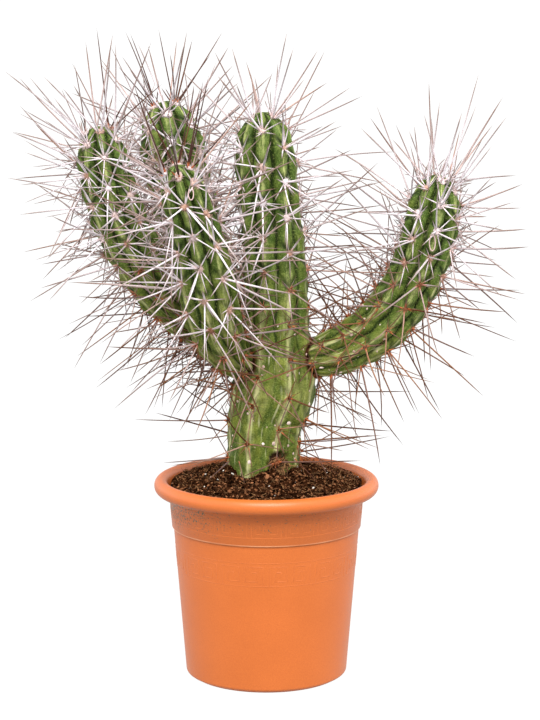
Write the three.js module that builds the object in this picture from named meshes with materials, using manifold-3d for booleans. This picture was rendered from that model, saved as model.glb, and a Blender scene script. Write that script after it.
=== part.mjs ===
// Potted tall cactus: a ribbed column cactus with four arms, set in soil in a round plastic pot.
// Millimetres, +Z up. The origin is the centre of the pot's underside.
// The front faces -Y, with +X to the right.

import * as THREE from "three";
import { mergeVertices } from "three/addons/utils/BufferGeometryUtils.js";
import Module from "manifold-3d";

const wasm = await Module();
wasm.setup();

// Pot
const POT_HEIGHT = 192.8;
const RIM_RADIUS = 108; // outermost radius, on the rolled rim
const RIM_HALF_WIDTH = 6.6;
const RIM_HALF_HEIGHT = 7.4;
const RIM_FOOT_Z = POT_HEIGHT - 2 * RIM_HALF_HEIGHT + 1.5; // where the wall meets the roll
const COLLAR_TOP_RADIUS = 93.6; // plain band between the rim and the tapered wall
const COLLAR_FOOT_RADIUS = 91;
const COLLAR_FOOT_Z = 145.8;
const COLLAR_STEP = 1.6; // how far the band stands out from the wall below it
const BASE_RADIUS = 77.9;
const BASE_CORNER = 4;
const WALL = 2.6;
const FLOOR = 3;
const DRAIN_HOLES = 8;
const DRAIN_RADIUS = 5;
const DRAIN_CIRCLE = 50; // radius of the circle of drain holes
const POT_SIDES = 36;

// Soil
const SOIL_EDGE_Z = 188;
const SOIL_CROWN_Z = 205; // the soil is heaped against the trunk
const SOIL_LUMP = 1.2; // height of the uneven top
const SOIL_LUMP_WIDTH = 14; // from a hump to the next hollow
const SOIL_MARGIN = 4; // level strip along the wall

// Space left between pieces that touch
const GAP = 0.3;

// Stems: each point is [x, y, z, radius over the ribs], from the root end to the tip.
// turn is the angle of the first rib from the front in degrees, at the root end and at the tip.
// ribDepth is the groove's depth as a share of the radius, at the root end and at the tip.
// pitch is half the distance between two areoles of one rib.
const STEMS = {
  trunk: {
    points: [
      [-3, 0, 150, 31],
      [-3, 0, 200, 34.5],
      [-1, 0, 248, 36.5],
      [7, 0, 281, 40.5],
      [8, 0, 335, 34],
      [8, 0, 400, 31],
      [2, 0, 462, 29.5],
      [-4, 0, 542, 28],
    ],
    turn: [-25, 1],
    ribDepth: [0.02, 0.38],
    pitch: 16.5,
  },
  arm_right: {
    points: [
      [35, -4, 306, 9],
      [40, -4, 308, 14.5],
      [46, -5, 310, 19],
      [57, -6, 312.5, 21.5],
      [80, -8, 322, 24.5],
      [111, -10, 345, 27],
      [137, -12, 383, 27],
      [152, -12, 425, 26.5],
      [162, -12, 484, 24.5],
    ],
    turn: [-35, -35],
    ribDepth: [0.2, 0.36],
    pitch: 12.6,
  },
  arm_front_left: {
    points: [
      [-22, -24, 302, 13],
      [-35, -38, 318, 19],
      [-46, -52, 342, 25.5],
      [-54, -68, 383, 27.5],
      [-61, -82, 424, 25],
      [-72, -97, 467, 21.5],
      [-81, -110, 500, 19],
    ],
    turn: [-52, -45],
    ribDepth: [0.2, 0.38],
    pitch: 15.5,
  },
  arm_back_left: {
    points: [
      [-14, 26, 314, 13],
      [-30, 40, 336, 19],
      [-45, 54, 362, 25.5],
      [-62, 67, 398, 30],
      [-79, 80, 444, 31.5],
      [-91, 88, 498, 31.5],
      [-100, 95, 547, 30],
    ],
    turn: [10, 3],
    ribDepth: [0.2, 0.38],
    pitch: 14.4,
  },
  arm_far_left: {
    points: [
      [-24, 0, 300, 13],
      [-47, 1, 321, 18],
      [-70, 2, 344, 22.5],
      [-100, 4, 374, 25.5],
      [-125, 6, 411, 26.5],
      [-146, 8, 459, 26],
      [-160, 8, 528, 24],
    ],
    turn: [38, 60],
    ribDepth: [0.2, 0.38],
    pitch: 14.2,
  },
};
const RIBS = 8;
const RIB_SAMPLES = [-0.2, 0.2, 0.5]; // places across a rib, in ribs: two on its crest, one in the groove
const DOME = 1.5; // height of the rounded tip, in stem radii
const AREOLE_SWELL = 0.05; // the ribs swell a little at each areole
const GROOVE_POWER = 3.5; // how flat the ribs are, and how sharp the grooves
const GROOVE_WANDER = 0.05; // the grooves wind round the areoles, in ribs
const TURN_POWER = 3; // the ribs turn most near the tip
const DEPTH_POWER = 1.4; // and the grooves are shallow in the lower half

// Areoles sit on the ribs, staggered between neighbours, and lie closer in the young growth at the tip.
const YOUNG_RINGS = 2;
const ROOT_MARGIN = 4; // the last ring of areoles stays this far from the root end

// Spines: tilt is the angle from the skin's normal in degrees, reach is the length.
const SPINES = [
  { tilt: [0, 42], reach: [68, 106], radius: 1.15 },
  { tilt: [8, 60], reach: [54, 98], radius: 1.05 },
  { tilt: [25, 70], reach: [36, 80], radius: 0.95 },
  { tilt: [50, 72], reach: [16, 32], radius: 0.85 },
];
const SPINE_SIDES = 3;
const SPINE_SINK = 2.6; // depth of a spine's root below the skin
const MIN_SLANT = 0.4; // a spine that lies flatter is sunk no longer than this asks
const SPINE_SPREAD = 1.6; // distance of a spine's root from the middle of its areole
const SPINE_CLEARANCE = 2.7; // from one spine's axis to that of another stem's spine
const OWN_CLEARANCE = 1.5; // and to that of its own stem's spine
const SKIN_CLEARANCE = 3; // from a spine to another stem, or to its own where it bends back
const SPINE_OWN_START = 10; // from here on a spine keeps clear of its own stem
const SPINE_TEST_STEP = 6; // distance between the tested points of a spine
const SLICE_STEP = 7.5; // distance between the round slices that stand for a stem in that test
const SPINE_TRIES = 20;
const SPINE_FLOOR_Z = 206; // spines stay above the soil and the rim
const SPINE_SIDE_X = 249; // and within the reach that the photograph shows
const SPINE_TOP_Z = 624;
const TIP_LEAN = 0.6; // spines near a stem's tip lean along the stem
const TIP_LENGTH = 60;
const SPINE_SWING = 1.4; // how far a spine may swing from its even place round the areole, radians
const SEED = 5;

const FRONT = new THREE.Vector3(0, -1, 0);
const UP = new THREE.Vector3(0, 0, 1);

function mix([start, end], share) {
  return start + (end - start) * share;
}

function seededRandom(seed) {
  let state = seed;
  return () => {
    state = (state + 0x6d2b79f5) | 0;
    let t = Math.imul(state ^ (state >>> 15), 1 | state);
    t = (t + Math.imul(t ^ (t >>> 7), 61 | t)) ^ t;
    return ((t ^ (t >>> 14)) >>> 0) / 4294967296;
  };
}

// Solids

function geometryToSolid(geometry) {
  const bare = geometry.clone();
  bare.deleteAttribute("normal");
  bare.deleteAttribute("uv");
  const merged = mergeVertices(bare, 1e-4);
  return new wasm.Manifold(
    new wasm.Mesh({
      numProp: 3,
      vertProperties: new Float32Array(merged.attributes.position.array),
      triVerts: new Uint32Array(merged.index.array),
    }),
  );
}

function solidToMesh(name, solid, material) {
  const { vertProperties, triVerts } = solid.getMesh();
  const geometry = new THREE.BufferGeometry();
  geometry.setAttribute("position", new THREE.BufferAttribute(vertProperties, 3));
  geometry.setIndex(new THREE.BufferAttribute(triVerts, 1));
  geometry.computeVertexNormals();
  const mesh = new THREE.Mesh(geometry, material);
  mesh.name = name;
  return mesh;
}

// LatheGeometry turns about +Y, so the result is stood up along +Z.
// The profile runs [radius, height] and its outside lies to the right of its path.
function latheUpright(profile) {
  const points = profile.map(([radius, height]) => new THREE.Vector2(radius, height));
  return new THREE.LatheGeometry(points, POT_SIDES).rotateX(Math.PI / 2);
}

// Pot and soil

function wallRadius(z) {
  const top = COLLAR_FOOT_RADIUS - COLLAR_STEP;
  return mix([BASE_RADIUS, top], (z - BASE_CORNER) / (COLLAR_FOOT_Z - BASE_CORNER));
}

function rimArc() {
  const centre = [RIM_RADIUS - RIM_HALF_WIDTH, POT_HEIGHT - RIM_HALF_HEIGHT];
  const [start, end, step] = [-130, 170, 30];
  const arc = [];
  for (let degrees = start; degrees <= end; degrees += step) {
    const angle = THREE.MathUtils.degToRad(degrees);
    arc.push([
      centre[0] + RIM_HALF_WIDTH * Math.cos(angle),
      centre[1] + RIM_HALF_HEIGHT * Math.sin(angle),
    ]);
  }
  return arc;
}

function makePot() {
  const bevel = BASE_CORNER * (1 - Math.SQRT1_2);
  const profile = [
    [0, 0],
    [BASE_RADIUS - BASE_CORNER, 0],
    [BASE_RADIUS - bevel, bevel],
    [BASE_RADIUS, BASE_CORNER],
    [wallRadius(COLLAR_FOOT_Z - 1), COLLAR_FOOT_Z - 1],
    [COLLAR_FOOT_RADIUS, COLLAR_FOOT_Z],
    [COLLAR_TOP_RADIUS, RIM_FOOT_Z],
    ...rimArc(),
    [COLLAR_TOP_RADIUS - WALL, RIM_FOOT_Z],
    [wallRadius(COLLAR_FOOT_Z) - WALL, COLLAR_FOOT_Z],
    [BASE_RADIUS - WALL, FLOOR],
    [0, FLOOR],
  ];
  let pot = geometryToSolid(latheUpright(profile));
  for (let i = 0; i < DRAIN_HOLES; i++) {
    const angle = (2 * Math.PI * i) / DRAIN_HOLES;
    const hole = new THREE.CylinderGeometry(DRAIN_RADIUS, DRAIN_RADIUS, 4 * FLOOR, 12);
    hole.rotateX(Math.PI / 2);
    hole.translate(DRAIN_CIRCLE * Math.cos(angle), DRAIN_CIRCLE * Math.sin(angle), 0);
    pot = pot.subtract(geometryToSolid(hole));
  }
  return pot;
}

function soilLump(x, y) {
  const [u, v] = [(x * Math.PI) / SOIL_LUMP_WIDTH, (y * Math.PI) / SOIL_LUMP_WIDTH];
  const broad = Math.sin(u + 1) * Math.cos(0.8 * v);
  const fine = Math.sin(1.6 * u + 1.8 * v);
  return SOIL_LUMP * (broad + 0.6 * fine);
}

function makeSoil(hole) {
  const topRings = 4;
  const edge = COLLAR_TOP_RADIUS - WALL - GAP;
  const profile = [
    [0, FLOOR + GAP],
    [BASE_RADIUS - WALL - GAP, FLOOR + GAP],
    [wallRadius(COLLAR_FOOT_Z) - WALL - GAP, COLLAR_FOOT_Z],
    [edge, RIM_FOOT_Z],
    [edge, SOIL_EDGE_Z - 2],
  ];
  for (let i = 0; i <= topRings; i++) {
    const share = i / topRings;
    const rise = Math.sin((share * Math.PI) / 2);
    profile.push([(edge - SOIL_MARGIN) * (1 - share), mix([SOIL_EDGE_Z, SOIL_CROWN_Z], rise)]);
  }
  const geometry = latheUpright(profile);
  const position = geometry.attributes.position;
  for (let i = 0; i < position.count; i++) {
    if (position.getZ(i) > SOIL_EDGE_Z - 1) {
      position.setZ(i, position.getZ(i) + soilLump(position.getX(i), position.getY(i)));
    }
  }
  return geometryToSolid(geometry).subtract(hole);
}

// Stems

// Uniform Catmull-Rom through a stem's points, the radius along with the place.
class StemLine extends THREE.Curve {
  constructor(points) {
    super();
    this.points = points;
    this.arcLengthDivisions = 400;
  }

  sample(t) {
    const spans = this.points.length - 1;
    const span = Math.min(Math.floor(t * spans), spans - 1);
    const u = t * spans - span;
    const at = (i) => this.points[i];
    const [b, c] = [at(span), at(span + 1)];
    const a = span > 0 ? at(span - 1) : b.map((value, i) => 2 * value - c[i]);
    const d = span < spans - 1 ? at(span + 2) : c.map((value, i) => 2 * value - b[i]);
    return b.map((value, i) => {
      const [slopeB, slopeC] = [(c[i] - a[i]) / 2, (d[i] - value) / 2];
      const cubic = 2 * value - 2 * c[i] + slopeB + slopeC;
      const square = -3 * value + 3 * c[i] - 2 * slopeB - slopeC;
      return ((cubic * u + square) * u + slopeB) * u + value;
    });
  }

  getPoint(t) {
    const [x, y, z] = this.sample(t);
    return new THREE.Vector3(x, y, z);
  }
}

function makeStemLine(name, index) {
  const stem = STEMS[name];
  const line = new StemLine(stem.points);
  return { ...stem, name, index, line, length: line.getLength() };
}

// Distance of a ring of areoles from the tip. Rings are the stem's pitch apart, and closer near the tip.
function ringDistance(stem, ring) {
  const young = stem.pitch / (YOUNG_RINGS + 1);
  const grown = Math.max(0, ring - YOUNG_RINGS);
  const youngRing = Math.min(ring, YOUNG_RINGS);
  return (young * youngRing * (youngRing + 1)) / 2 + grown * stem.pitch;
}

function ringCount(stem) {
  let ring = 0;
  while (ringDistance(stem, ring + 1) < stem.length - ROOT_MARGIN) {
    ring++;
  }
  return ring;
}

// The stem's centre, axes and radius at a distance from its tip.
function stemFrame(stem, distance) {
  const along = THREE.MathUtils.clamp(1 - distance / stem.length, 0, 1);
  const t = stem.line.getUtoTmapping(along);
  const [x, y, z, radius] = stem.line.sample(t);
  const up = stem.line.getTangent(t);
  const front = FRONT.clone().addScaledVector(up, -FRONT.dot(up)).normalize();
  const side = new THREE.Vector3().crossVectors(up, front);
  const domeHeight = DOME * radius;
  const fromDome = Math.max(0, 1 - distance / domeHeight);
  return {
    centre: new THREE.Vector3(x, y, z),
    up,
    front,
    side,
    radius: radius * Math.sqrt(1 - fromDome * fromDome),
    depth: mix(stem.ribDepth, along ** DEPTH_POWER),
    turn: THREE.MathUtils.degToRad(mix(stem.turn, along ** TURN_POWER)),
  };
}

function radialDirection(frame, rib) {
  const angle = frame.turn + (rib * 2 * Math.PI) / RIBS;
  return frame.front
    .clone()
    .multiplyScalar(Math.cos(angle))
    .addScaledVector(frame.side, Math.sin(angle));
}

// A point of the skin. rib counts ribs round the stem: whole on a crest, and half in a groove.
function skinPoint(frame, ring, rib, grow = 0) {
  const across = 2 * Math.abs(rib - Math.round(rib));
  const groove = 1 - frame.depth * across ** GROOVE_POWER;
  const areole = Math.cos(Math.PI * (ring + Math.round(rib)));
  const swell = 1 + AREOLE_SWELL * areole * (1 - across);
  const radius = frame.radius * groove * swell + grow;
  const wander = GROOVE_WANDER * Math.sin(Math.PI * rib) * Math.cos(Math.PI * ring);
  return frame.centre.clone().addScaledVector(radialDirection(frame, rib + wander), radius);
}

function makeStemSolid(stem, grow = 0) {
  const rings = ringCount(stem);
  const sides = RIBS * RIB_SAMPLES.length;
  const points = [stemFrame(stem, 0).centre.addScaledVector(UP, grow)];
  for (let ring = 1; ring <= rings + 1; ring++) {
    const isRoot = ring > rings;
    const frame = stemFrame(stem, isRoot ? stem.length : ringDistance(stem, ring));
    const shift = isRoot ? -grow : 0;
    for (let rib = 0; rib < RIBS; rib++) {
      for (const offset of RIB_SAMPLES) {
        points.push(skinPoint(frame, ring, rib + offset, grow).addScaledVector(frame.up, shift));
      }
    }
  }
  const rootFrame = stemFrame(stem, stem.length);
  points.push(rootFrame.centre.addScaledVector(rootFrame.up, -grow));

  const corner = (ring, side) => 1 + (ring - 1) * sides + (side % sides);
  const faces = [];
  for (let side = 0; side < sides; side++) {
    faces.push(0, corner(1, side), corner(1, side + 1));
    for (let ring = 1; ring <= rings; ring++) {
      const [a, b] = [corner(ring, side), corner(ring, side + 1)];
      const [c, d] = [corner(ring + 1, side), corner(ring + 1, side + 1)];
      faces.push(a, c, b, b, c, d);
    }
    faces.push(points.length - 1, corner(rings + 1, side + 1), corner(rings + 1, side));
  }
  const geometry = new THREE.BufferGeometry().setFromPoints(points);
  geometry.setIndex(faces);
  return geometryToSolid(geometry);
}

// Spines

function areoleFrame(stem, ring, rib) {
  const distance = ringDistance(stem, ring);
  const frame = stemFrame(stem, distance);
  const step = 0.5;
  const slope = (stemFrame(stem, distance + step).radius - frame.radius) / step;
  const normal = radialDirection(frame, rib).addScaledVector(frame.up, slope).normalize();
  const side = new THREE.Vector3().crossVectors(frame.up, normal).normalize();
  const [left, right] = RIB_SAMPLES.slice(0, 2).map((offset) => skinPoint(frame, ring, rib + offset));
  const place = left.lerp(right, 0.5);
  const lean = frame.up.clone().multiplyScalar(TIP_LEAN * Math.max(0, 1 - distance / TIP_LENGTH));
  return { place, normal, side, up: new THREE.Vector3().crossVectors(normal, side), lean };
}

function drawSpine(stem, areole, kind, startAngle, random) {
  const tilt = THREE.MathUtils.degToRad(mix(kind.tilt, random()));
  const swing = startAngle + (random() - 0.5) * SPINE_SWING;
  const reach = mix(kind.reach, random());
  const across = areole.up
    .clone()
    .multiplyScalar(Math.cos(swing))
    .addScaledVector(areole.side, Math.sin(swing));
  const direction = areole.normal
    .clone()
    .multiplyScalar(Math.cos(tilt))
    .addScaledVector(across, Math.sin(tilt))
    .add(areole.lean)
    .normalize();
  const root = areole.place.clone().addScaledVector(across, SPINE_SPREAD);
  const tip = root.clone().addScaledVector(direction, reach);
  const sink = SPINE_SINK / Math.max(MIN_SLANT, direction.dot(areole.normal));
  return { stem: stem.index, root, tip, direction, reach, sink, radius: kind.radius };
}

// Shortest distance between two straight spines.
function spineDistance(a, b) {
  const [da, db] = [a.tip.clone().sub(a.root), b.tip.clone().sub(b.root)];
  const between = a.root.clone().sub(b.root);
  const [aa, bb, ab] = [da.dot(da), db.dot(db), da.dot(db)];
  const [ra, rb] = [da.dot(between), db.dot(between)];
  const cross = aa * bb - ab * ab;
  const clamp = (value) => Math.min(1, Math.max(0, value));
  let s = cross > 1e-6 ? clamp((ab * rb - bb * ra) / cross) : 0;
  const t = clamp((ab * s + rb) / bb);
  s = clamp((ab * t - ra) / aa);
  const pointA = a.root.clone().addScaledVector(da, s);
  return pointA.distanceTo(b.root.clone().addScaledVector(db, t));
}

// Round slices of every stem, which a spine must pass clear of.
function stemSlices(stems) {
  return stems.flatMap((stem) => {
    const slices = [];
    for (let distance = 3; distance < stem.length; distance += SLICE_STEP) {
      const { centre, radius } = stemFrame(stem, distance);
      slices.push({ stem: stem.index, centre, radius });
    }
    return slices;
  });
}

function spineIsClear(spine, slices, placed) {
  const { x, z } = spine.tip;
  if (z < SPINE_FLOOR_Z || z > SPINE_TOP_Z || Math.abs(x) > SPINE_SIDE_X) {
    return false;
  }
  const end = spine.reach + SPINE_TEST_STEP;
  for (let along = -spine.sink; along < end; along += SPINE_TEST_STEP) {
    const point = spine.root.clone().addScaledVector(spine.direction, Math.min(along, spine.reach));
    const touches = slices.some((slice) => {
      const own = slice.stem === spine.stem;
      const room = own ? 0 : SKIN_CLEARANCE;
      return !(own && along < SPINE_OWN_START) && point.distanceTo(slice.centre) < slice.radius + room;
    });
    if (touches) {
      return false;
    }
  }
  return placed.every((other) => {
    const room = other.stem === spine.stem ? OWN_CLEARANCE : SPINE_CLEARANCE;
    return spineDistance(spine, other) > room;
  });
}

// Spines of every stem. One that would cross another spine or stem is drawn again, and left out
// when no try is clear.
function placeSpines(stems) {
  const slices = stemSlices(stems);
  const placed = [];
  for (const stem of stems) {
    const random = seededRandom(SEED + stem.index);
    for (let ring = 1; ring <= ringCount(stem); ring++) {
      for (let rib = ring % 2; rib < RIBS; rib += 2) {
        const areole = areoleFrame(stem, ring, rib);
        if (areole.place.z < SPINE_FLOOR_Z) {
          continue;
        }
        const startAngle = random() * 2 * Math.PI;
        SPINES.forEach((kind, i) => {
          const angle = startAngle + (i * 2 * Math.PI) / SPINES.length;
          for (let attempt = 0; attempt < SPINE_TRIES; attempt++) {
            const spine = drawSpine(stem, areole, kind, angle, random);
            if (spineIsClear(spine, slices, placed)) {
              placed.push(spine);
              break;
            }
          }
        });
      }
    }
  }
  return placed;
}

function spineSolid(spine) {
  const length = spine.reach + spine.sink;
  const cone = new THREE.ConeGeometry(spine.radius, length, SPINE_SIDES);
  cone.translate(0, length / 2, 0);
  const turn = new THREE.Quaternion().setFromUnitVectors(new THREE.Vector3(0, 1, 0), spine.direction);
  cone.applyQuaternion(turn);
  const foot = spine.root.clone().addScaledVector(spine.direction, -spine.sink);
  cone.translate(foot.x, foot.y, foot.z);
  return geometryToSolid(cone);
}

// Assembly

function material(name, color, roughness) {
  const made = new THREE.MeshStandardMaterial({ color, roughness, metalness: 0 });
  made.name = name;
  return made;
}

const potPlastic = material("terracotta plastic", 0xdf7a40, 0.5);
const pottingSoil = material("potting soil", 0x3a2414, 0.95);
const cactusSkin = material("cactus skin", 0x748b42, 0.6);

const stems = Object.keys(STEMS).map(makeStemLine);
const spines = placeSpines(stems);
const trunkWithGap = makeStemSolid(stems[0], GAP);

const pottedCactus = new THREE.Group();
pottedCactus.add(solidToMesh("pot", makePot(), potPlastic));
pottedCactus.add(solidToMesh("soil", makeSoil(trunkWithGap), pottingSoil));
for (const stem of stems) {
  const isArm = stem.name !== "trunk";
  const body = isArm ? makeStemSolid(stem).subtract(trunkWithGap) : makeStemSolid(stem);
  const own = spines.filter((spine) => spine.stem === stem.index).map(spineSolid);
  pottedCactus.add(solidToMesh(stem.name, wasm.Manifold.union([body, ...own]), cactusSkin));
}

export default pottedCactus;
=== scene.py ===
# %% [markdown]
# # A potted tall cactus
# A ribbed column cactus with four arms stands in peat in a round plastic pot. The lesson builds it from
# the pot upwards: first a few helpers, then each piece with its finish, and at the end the light and
# the camera. Sizes are written in millimetres, as a gardener would measure them, and are turned to
# metres only when a mesh is made.

import math

import bmesh
import bpy
import numpy as np
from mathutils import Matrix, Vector, noise
from mathutils.bvhtree import BVHTree


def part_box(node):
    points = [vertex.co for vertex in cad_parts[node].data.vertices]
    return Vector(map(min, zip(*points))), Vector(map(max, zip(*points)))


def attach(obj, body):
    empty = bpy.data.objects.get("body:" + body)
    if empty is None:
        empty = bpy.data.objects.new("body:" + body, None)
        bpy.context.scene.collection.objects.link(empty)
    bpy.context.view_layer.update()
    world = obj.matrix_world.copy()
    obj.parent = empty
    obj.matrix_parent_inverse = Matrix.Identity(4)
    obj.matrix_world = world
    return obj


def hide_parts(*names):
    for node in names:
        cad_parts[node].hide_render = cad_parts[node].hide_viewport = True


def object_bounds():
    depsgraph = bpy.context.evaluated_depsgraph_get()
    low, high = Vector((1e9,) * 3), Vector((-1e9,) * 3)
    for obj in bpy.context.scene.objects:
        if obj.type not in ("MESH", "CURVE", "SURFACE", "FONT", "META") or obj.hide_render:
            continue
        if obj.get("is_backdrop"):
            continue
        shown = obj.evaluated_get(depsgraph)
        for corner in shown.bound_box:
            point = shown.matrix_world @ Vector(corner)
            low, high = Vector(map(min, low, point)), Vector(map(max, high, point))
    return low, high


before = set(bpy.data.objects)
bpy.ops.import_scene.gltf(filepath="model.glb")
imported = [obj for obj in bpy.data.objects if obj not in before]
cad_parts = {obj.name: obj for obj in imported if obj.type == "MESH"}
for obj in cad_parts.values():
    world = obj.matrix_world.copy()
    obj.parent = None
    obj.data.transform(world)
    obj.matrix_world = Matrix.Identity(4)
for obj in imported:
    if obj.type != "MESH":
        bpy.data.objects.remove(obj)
cad_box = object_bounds()
MM = 0.001
print("frame:", sorted(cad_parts))

# %% [markdown]
# ## Helpers for nodes and pieces
# Blender's materials and its Geometry Nodes are both trees of nodes, so one function that adds a node,
# sets it and feeds its inputs serves both. It is made for one tree at a time and is always called `add`.
# The kinds of node that are used most have a short word each, kept in a table with the setting that goes
# with it. A feed may be a plain value, an output, or a whole node, whose first output is then used.
# Colours are picked as the sRGB hex values that a screen shows, and the renderer wants linear light, so
# one more function turns one into the other.

# %% Short words for kinds of node
KINDS = {
    "mix": ("ShaderNodeMix", {"data_type": "RGBA"}),
    "range": ("ShaderNodeMapRange", {}),
    "smooth": ("ShaderNodeMapRange", {"interpolation_type": "SMOOTHSTEP"}),
    "noise": ("ShaderNodeTexNoise", {}),
    "bump": ("ShaderNodeBump", {}),
    "xyz": ("ShaderNodeCombineXYZ", {}),
    "attribute": ("ShaderNodeAttribute", {}),
    "named": ("GeometryNodeInputNamedAttribute", {}),
    "store": ("GeometryNodeStoreNamedAttribute", {}),
    "set_position": ("GeometryNodeSetPosition", {}),
    "instances": ("GeometryNodeInstanceOnPoints", {}),
    "realize": ("GeometryNodeRealizeInstances", {}),
    "align": ("FunctionNodeAlignRotationToVector", {"axis": "Z"}),
    "random": ("FunctionNodeRandomValue", {"data_type": "FLOAT"}),
}
NUMBER_WORDS = {
    "plus": "ADD", "minus": "SUBTRACT", "times": "MULTIPLY", "over": "DIVIDE", "times_plus": "MULTIPLY_ADD",
    "power": "POWER", "cosine": "COSINE", "sine": "SINE", "floor": "FLOOR", "modulo": "MODULO",
    "round": "ROUND", "absolute": "ABSOLUTE", "above": "GREATER_THAN", "below": "LESS_THAN",
    "most": "MAXIMUM", "near": "COMPARE",
}
VECTOR_WORDS = {
    "v_plus": "ADD", "v_minus": "SUBTRACT", "v_times": "MULTIPLY", "v_scale": "SCALE",
    "v_distance": "DISTANCE",
}
for kind, words in (("ShaderNodeMath", NUMBER_WORDS), ("ShaderNodeVectorMath", VECTOR_WORDS)):
    KINDS.update({word: (kind, {"operation": operation}) for word, operation in words.items()})
print(len(KINDS), "kinds of node have a word")


# %% Add a node, and turn a colour to linear
def linear(colour):
    """Linear RGBA of an sRGB hex colour such as "8a9c50"."""
    parts = [int(colour[i : i + 2], 16) / 255 for i in (0, 2, 4)]
    return [c / 12.92 if c <= 0.04045 else ((c + 0.055) / 1.055) ** 2.4 for c in parts] + [1.0]


def connect(feed, socket):
    """Feeds an input with a number, a hex colour, an output, or a node's first output."""
    if isinstance(feed, bpy.types.Node):
        feed = next(output for output in feed.outputs if output.enabled)
    if isinstance(feed, bpy.types.NodeSocket):
        socket.id_data.links.new(feed, socket)
    elif socket.type == "RGBA":
        socket.default_value = linear(feed)
    else:
        socket.default_value = feed


def adder(tree):
    """The function that adds a node to this tree."""

    def add(kind, *feeds, **words):
        """Feeds go to the inputs in order, or by a name with a capital. Small words are settings."""
        kind, settings = KINDS.get(kind, (kind, {}))
        node = tree.nodes.new(kind)
        for word, value in (settings | words).items():
            if word[0].islower():
                setattr(node, word, value)
        sockets = [socket for socket in node.inputs if socket.enabled]
        fed = [(socket, feed) for socket, feed in zip(sockets, feeds) if feed is not None]
        for word, feed in words.items():
            if word[0].isupper():
                fed.append((next(s for s in sockets if s.name == word.replace("_", " ")), feed))
        for socket, feed in fed:
            connect(feed, socket)
        return node

    return add


print("linear mid grey:", round(linear("808080")[0], 3))

# %% [markdown]
# A Geometry Nodes tree works like a recipe with named amounts. `new_tree` starts one with a named input
# for each size, `end_tree` closes it, and `grow` runs it on a source mesh and keeps the result as a plain
# mesh. The amounts are set before the tree first runs, because a change after that may go unnoticed.

# %% Start, end and run a Geometry Nodes tree
SOCKETS = {int: "NodeSocketInt", float: "NodeSocketFloat", tuple: "NodeSocketVector"}


def new_tree(name, **amounts):
    """The adder of a tree with a named input for each amount and one for the finish, and those inputs."""
    tree = bpy.data.node_groups.new(name, "GeometryNodeTree")
    for way in ("INPUT", "OUTPUT"):
        tree.interface.new_socket("Geometry", in_out=way, socket_type="NodeSocketGeometry")
    for label, value in amounts.items():
        socket = tree.interface.new_socket(label, in_out="INPUT", socket_type=SOCKETS[type(value)])
        socket.default_value = value
    tree.interface.new_socket("finish", in_out="INPUT", socket_type="NodeSocketMaterial")
    add = adder(tree)
    return add, add("NodeGroupInput").outputs


def end_tree(add, geometry, given):
    """What was placed becomes real faces, smooth, with its finish. Gives back the whole tree."""
    smooth = add("GeometryNodeSetShadeSmooth", add("realize", geometry))
    done = add("GeometryNodeSetMaterial", smooth, Material=given["finish"])
    tree = add("NodeGroupOutput", done).id_data
    print(f"tree: {tree.name}, {len(tree.nodes)} nodes")
    return tree


def new_piece(name, mesh):
    piece = bpy.data.objects.new(name, mesh)
    bpy.context.scene.collection.objects.link(piece)
    return piece


def place(piece, slot, node):
    """Sets a finished piece on the frame's root body and hides the solid that it stands for. The slot is not
    used.
    """
    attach(piece, "root")
    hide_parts(node)
    print(f"{piece.name}: {len(piece.data.polygons)} faces")
    return piece


def grow(name, source, tree, slot, node, **amounts):
    """Runs a tree on a source mesh, keeps what it makes as a plain mesh and places it."""
    seed = new_piece(name + "_seed", source)
    modifier = seed.modifiers.new("grow", "NODES")
    modifier.node_group = tree
    sockets = {item.name: item.identifier for item in tree.interface.items_tree if item.in_out == "INPUT"}
    for label, value in amounts.items():
        modifier[sockets[label]] = value
    graph = bpy.context.evaluated_depsgraph_get()
    evaluated = seed.evaluated_get(graph)
    mesh = bpy.data.meshes.new_from_object(evaluated, preserve_all_data_layers=True, depsgraph=graph)
    bpy.data.objects.remove(seed)
    return place(new_piece(name, mesh), slot, node)


# %% Points for a tree, and meshes from bmesh
def points_mesh(name, places, **attributes):
    """A mesh of loose points, given in millimetres, with numbers and vectors for a tree to read."""
    mesh = bpy.data.meshes.new(name)
    mesh.from_pydata((np.asarray(places) * MM).tolist(), [], [])
    for label, values in attributes.items():
        values = np.asarray(values, np.float32)
        kind, field = ("FLOAT", "value") if values.ndim == 1 else ("FLOAT_VECTOR", "vector")
        mesh.attributes.new(label, kind, "POINT").data.foreach_set(field, values.ravel())
    return mesh


def mesh_of(name, form):
    """Turns a finished bmesh into a mesh."""
    mesh = bpy.data.meshes.new(name)
    form.to_mesh(mesh)
    form.free()
    return mesh

# %% [markdown]
# A finish is a material with one Principled shader. What is the same all over, such as how rough it is,
# is set on the shader's own socket. What varies comes in through nodes that read the piece's own
# coordinates in metres, so a grain of 2 mm is a noise of scale 1 / 0.002. Colour goes on as a painter
# lays coats: each coat covers what is under it by a share, which is the product of one or more patterns.
# A pattern is mostly a ramp, the word "range" or "smooth" with what it reads, the two values between
# which it rises, and the shares that it rises from and to, which are 0 and 1 unless they are given.

# %% Start a finish, and lay coats of colour
def new_finish(name, **constants):
    """A material, the adder of its tree, its shader and the piece's own coordinates."""
    finish = bpy.data.materials.new(name)
    finish.use_nodes = True
    add = adder(finish.node_tree)
    shader = finish.node_tree.nodes["Principled BSDF"]
    for label, value in constants.items():
        shader.inputs[label.replace("_", " ")].default_value = value
    print("finish:", name)
    return finish, add, shader.inputs, add("ShaderNodeTexCoord").outputs["Object"]


def coats(add, colour, *layers):
    """Lays each layer's colour over what is there, by the product of the patterns that follow it."""
    for shade, *patterns in layers:
        share = None
        for pattern in patterns:
            part = add(*pattern) if isinstance(pattern, tuple) else pattern
            share = part if share is None else add("times", share, part)
        colour = add("mix", share, colour, shade)
    return colour


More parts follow.
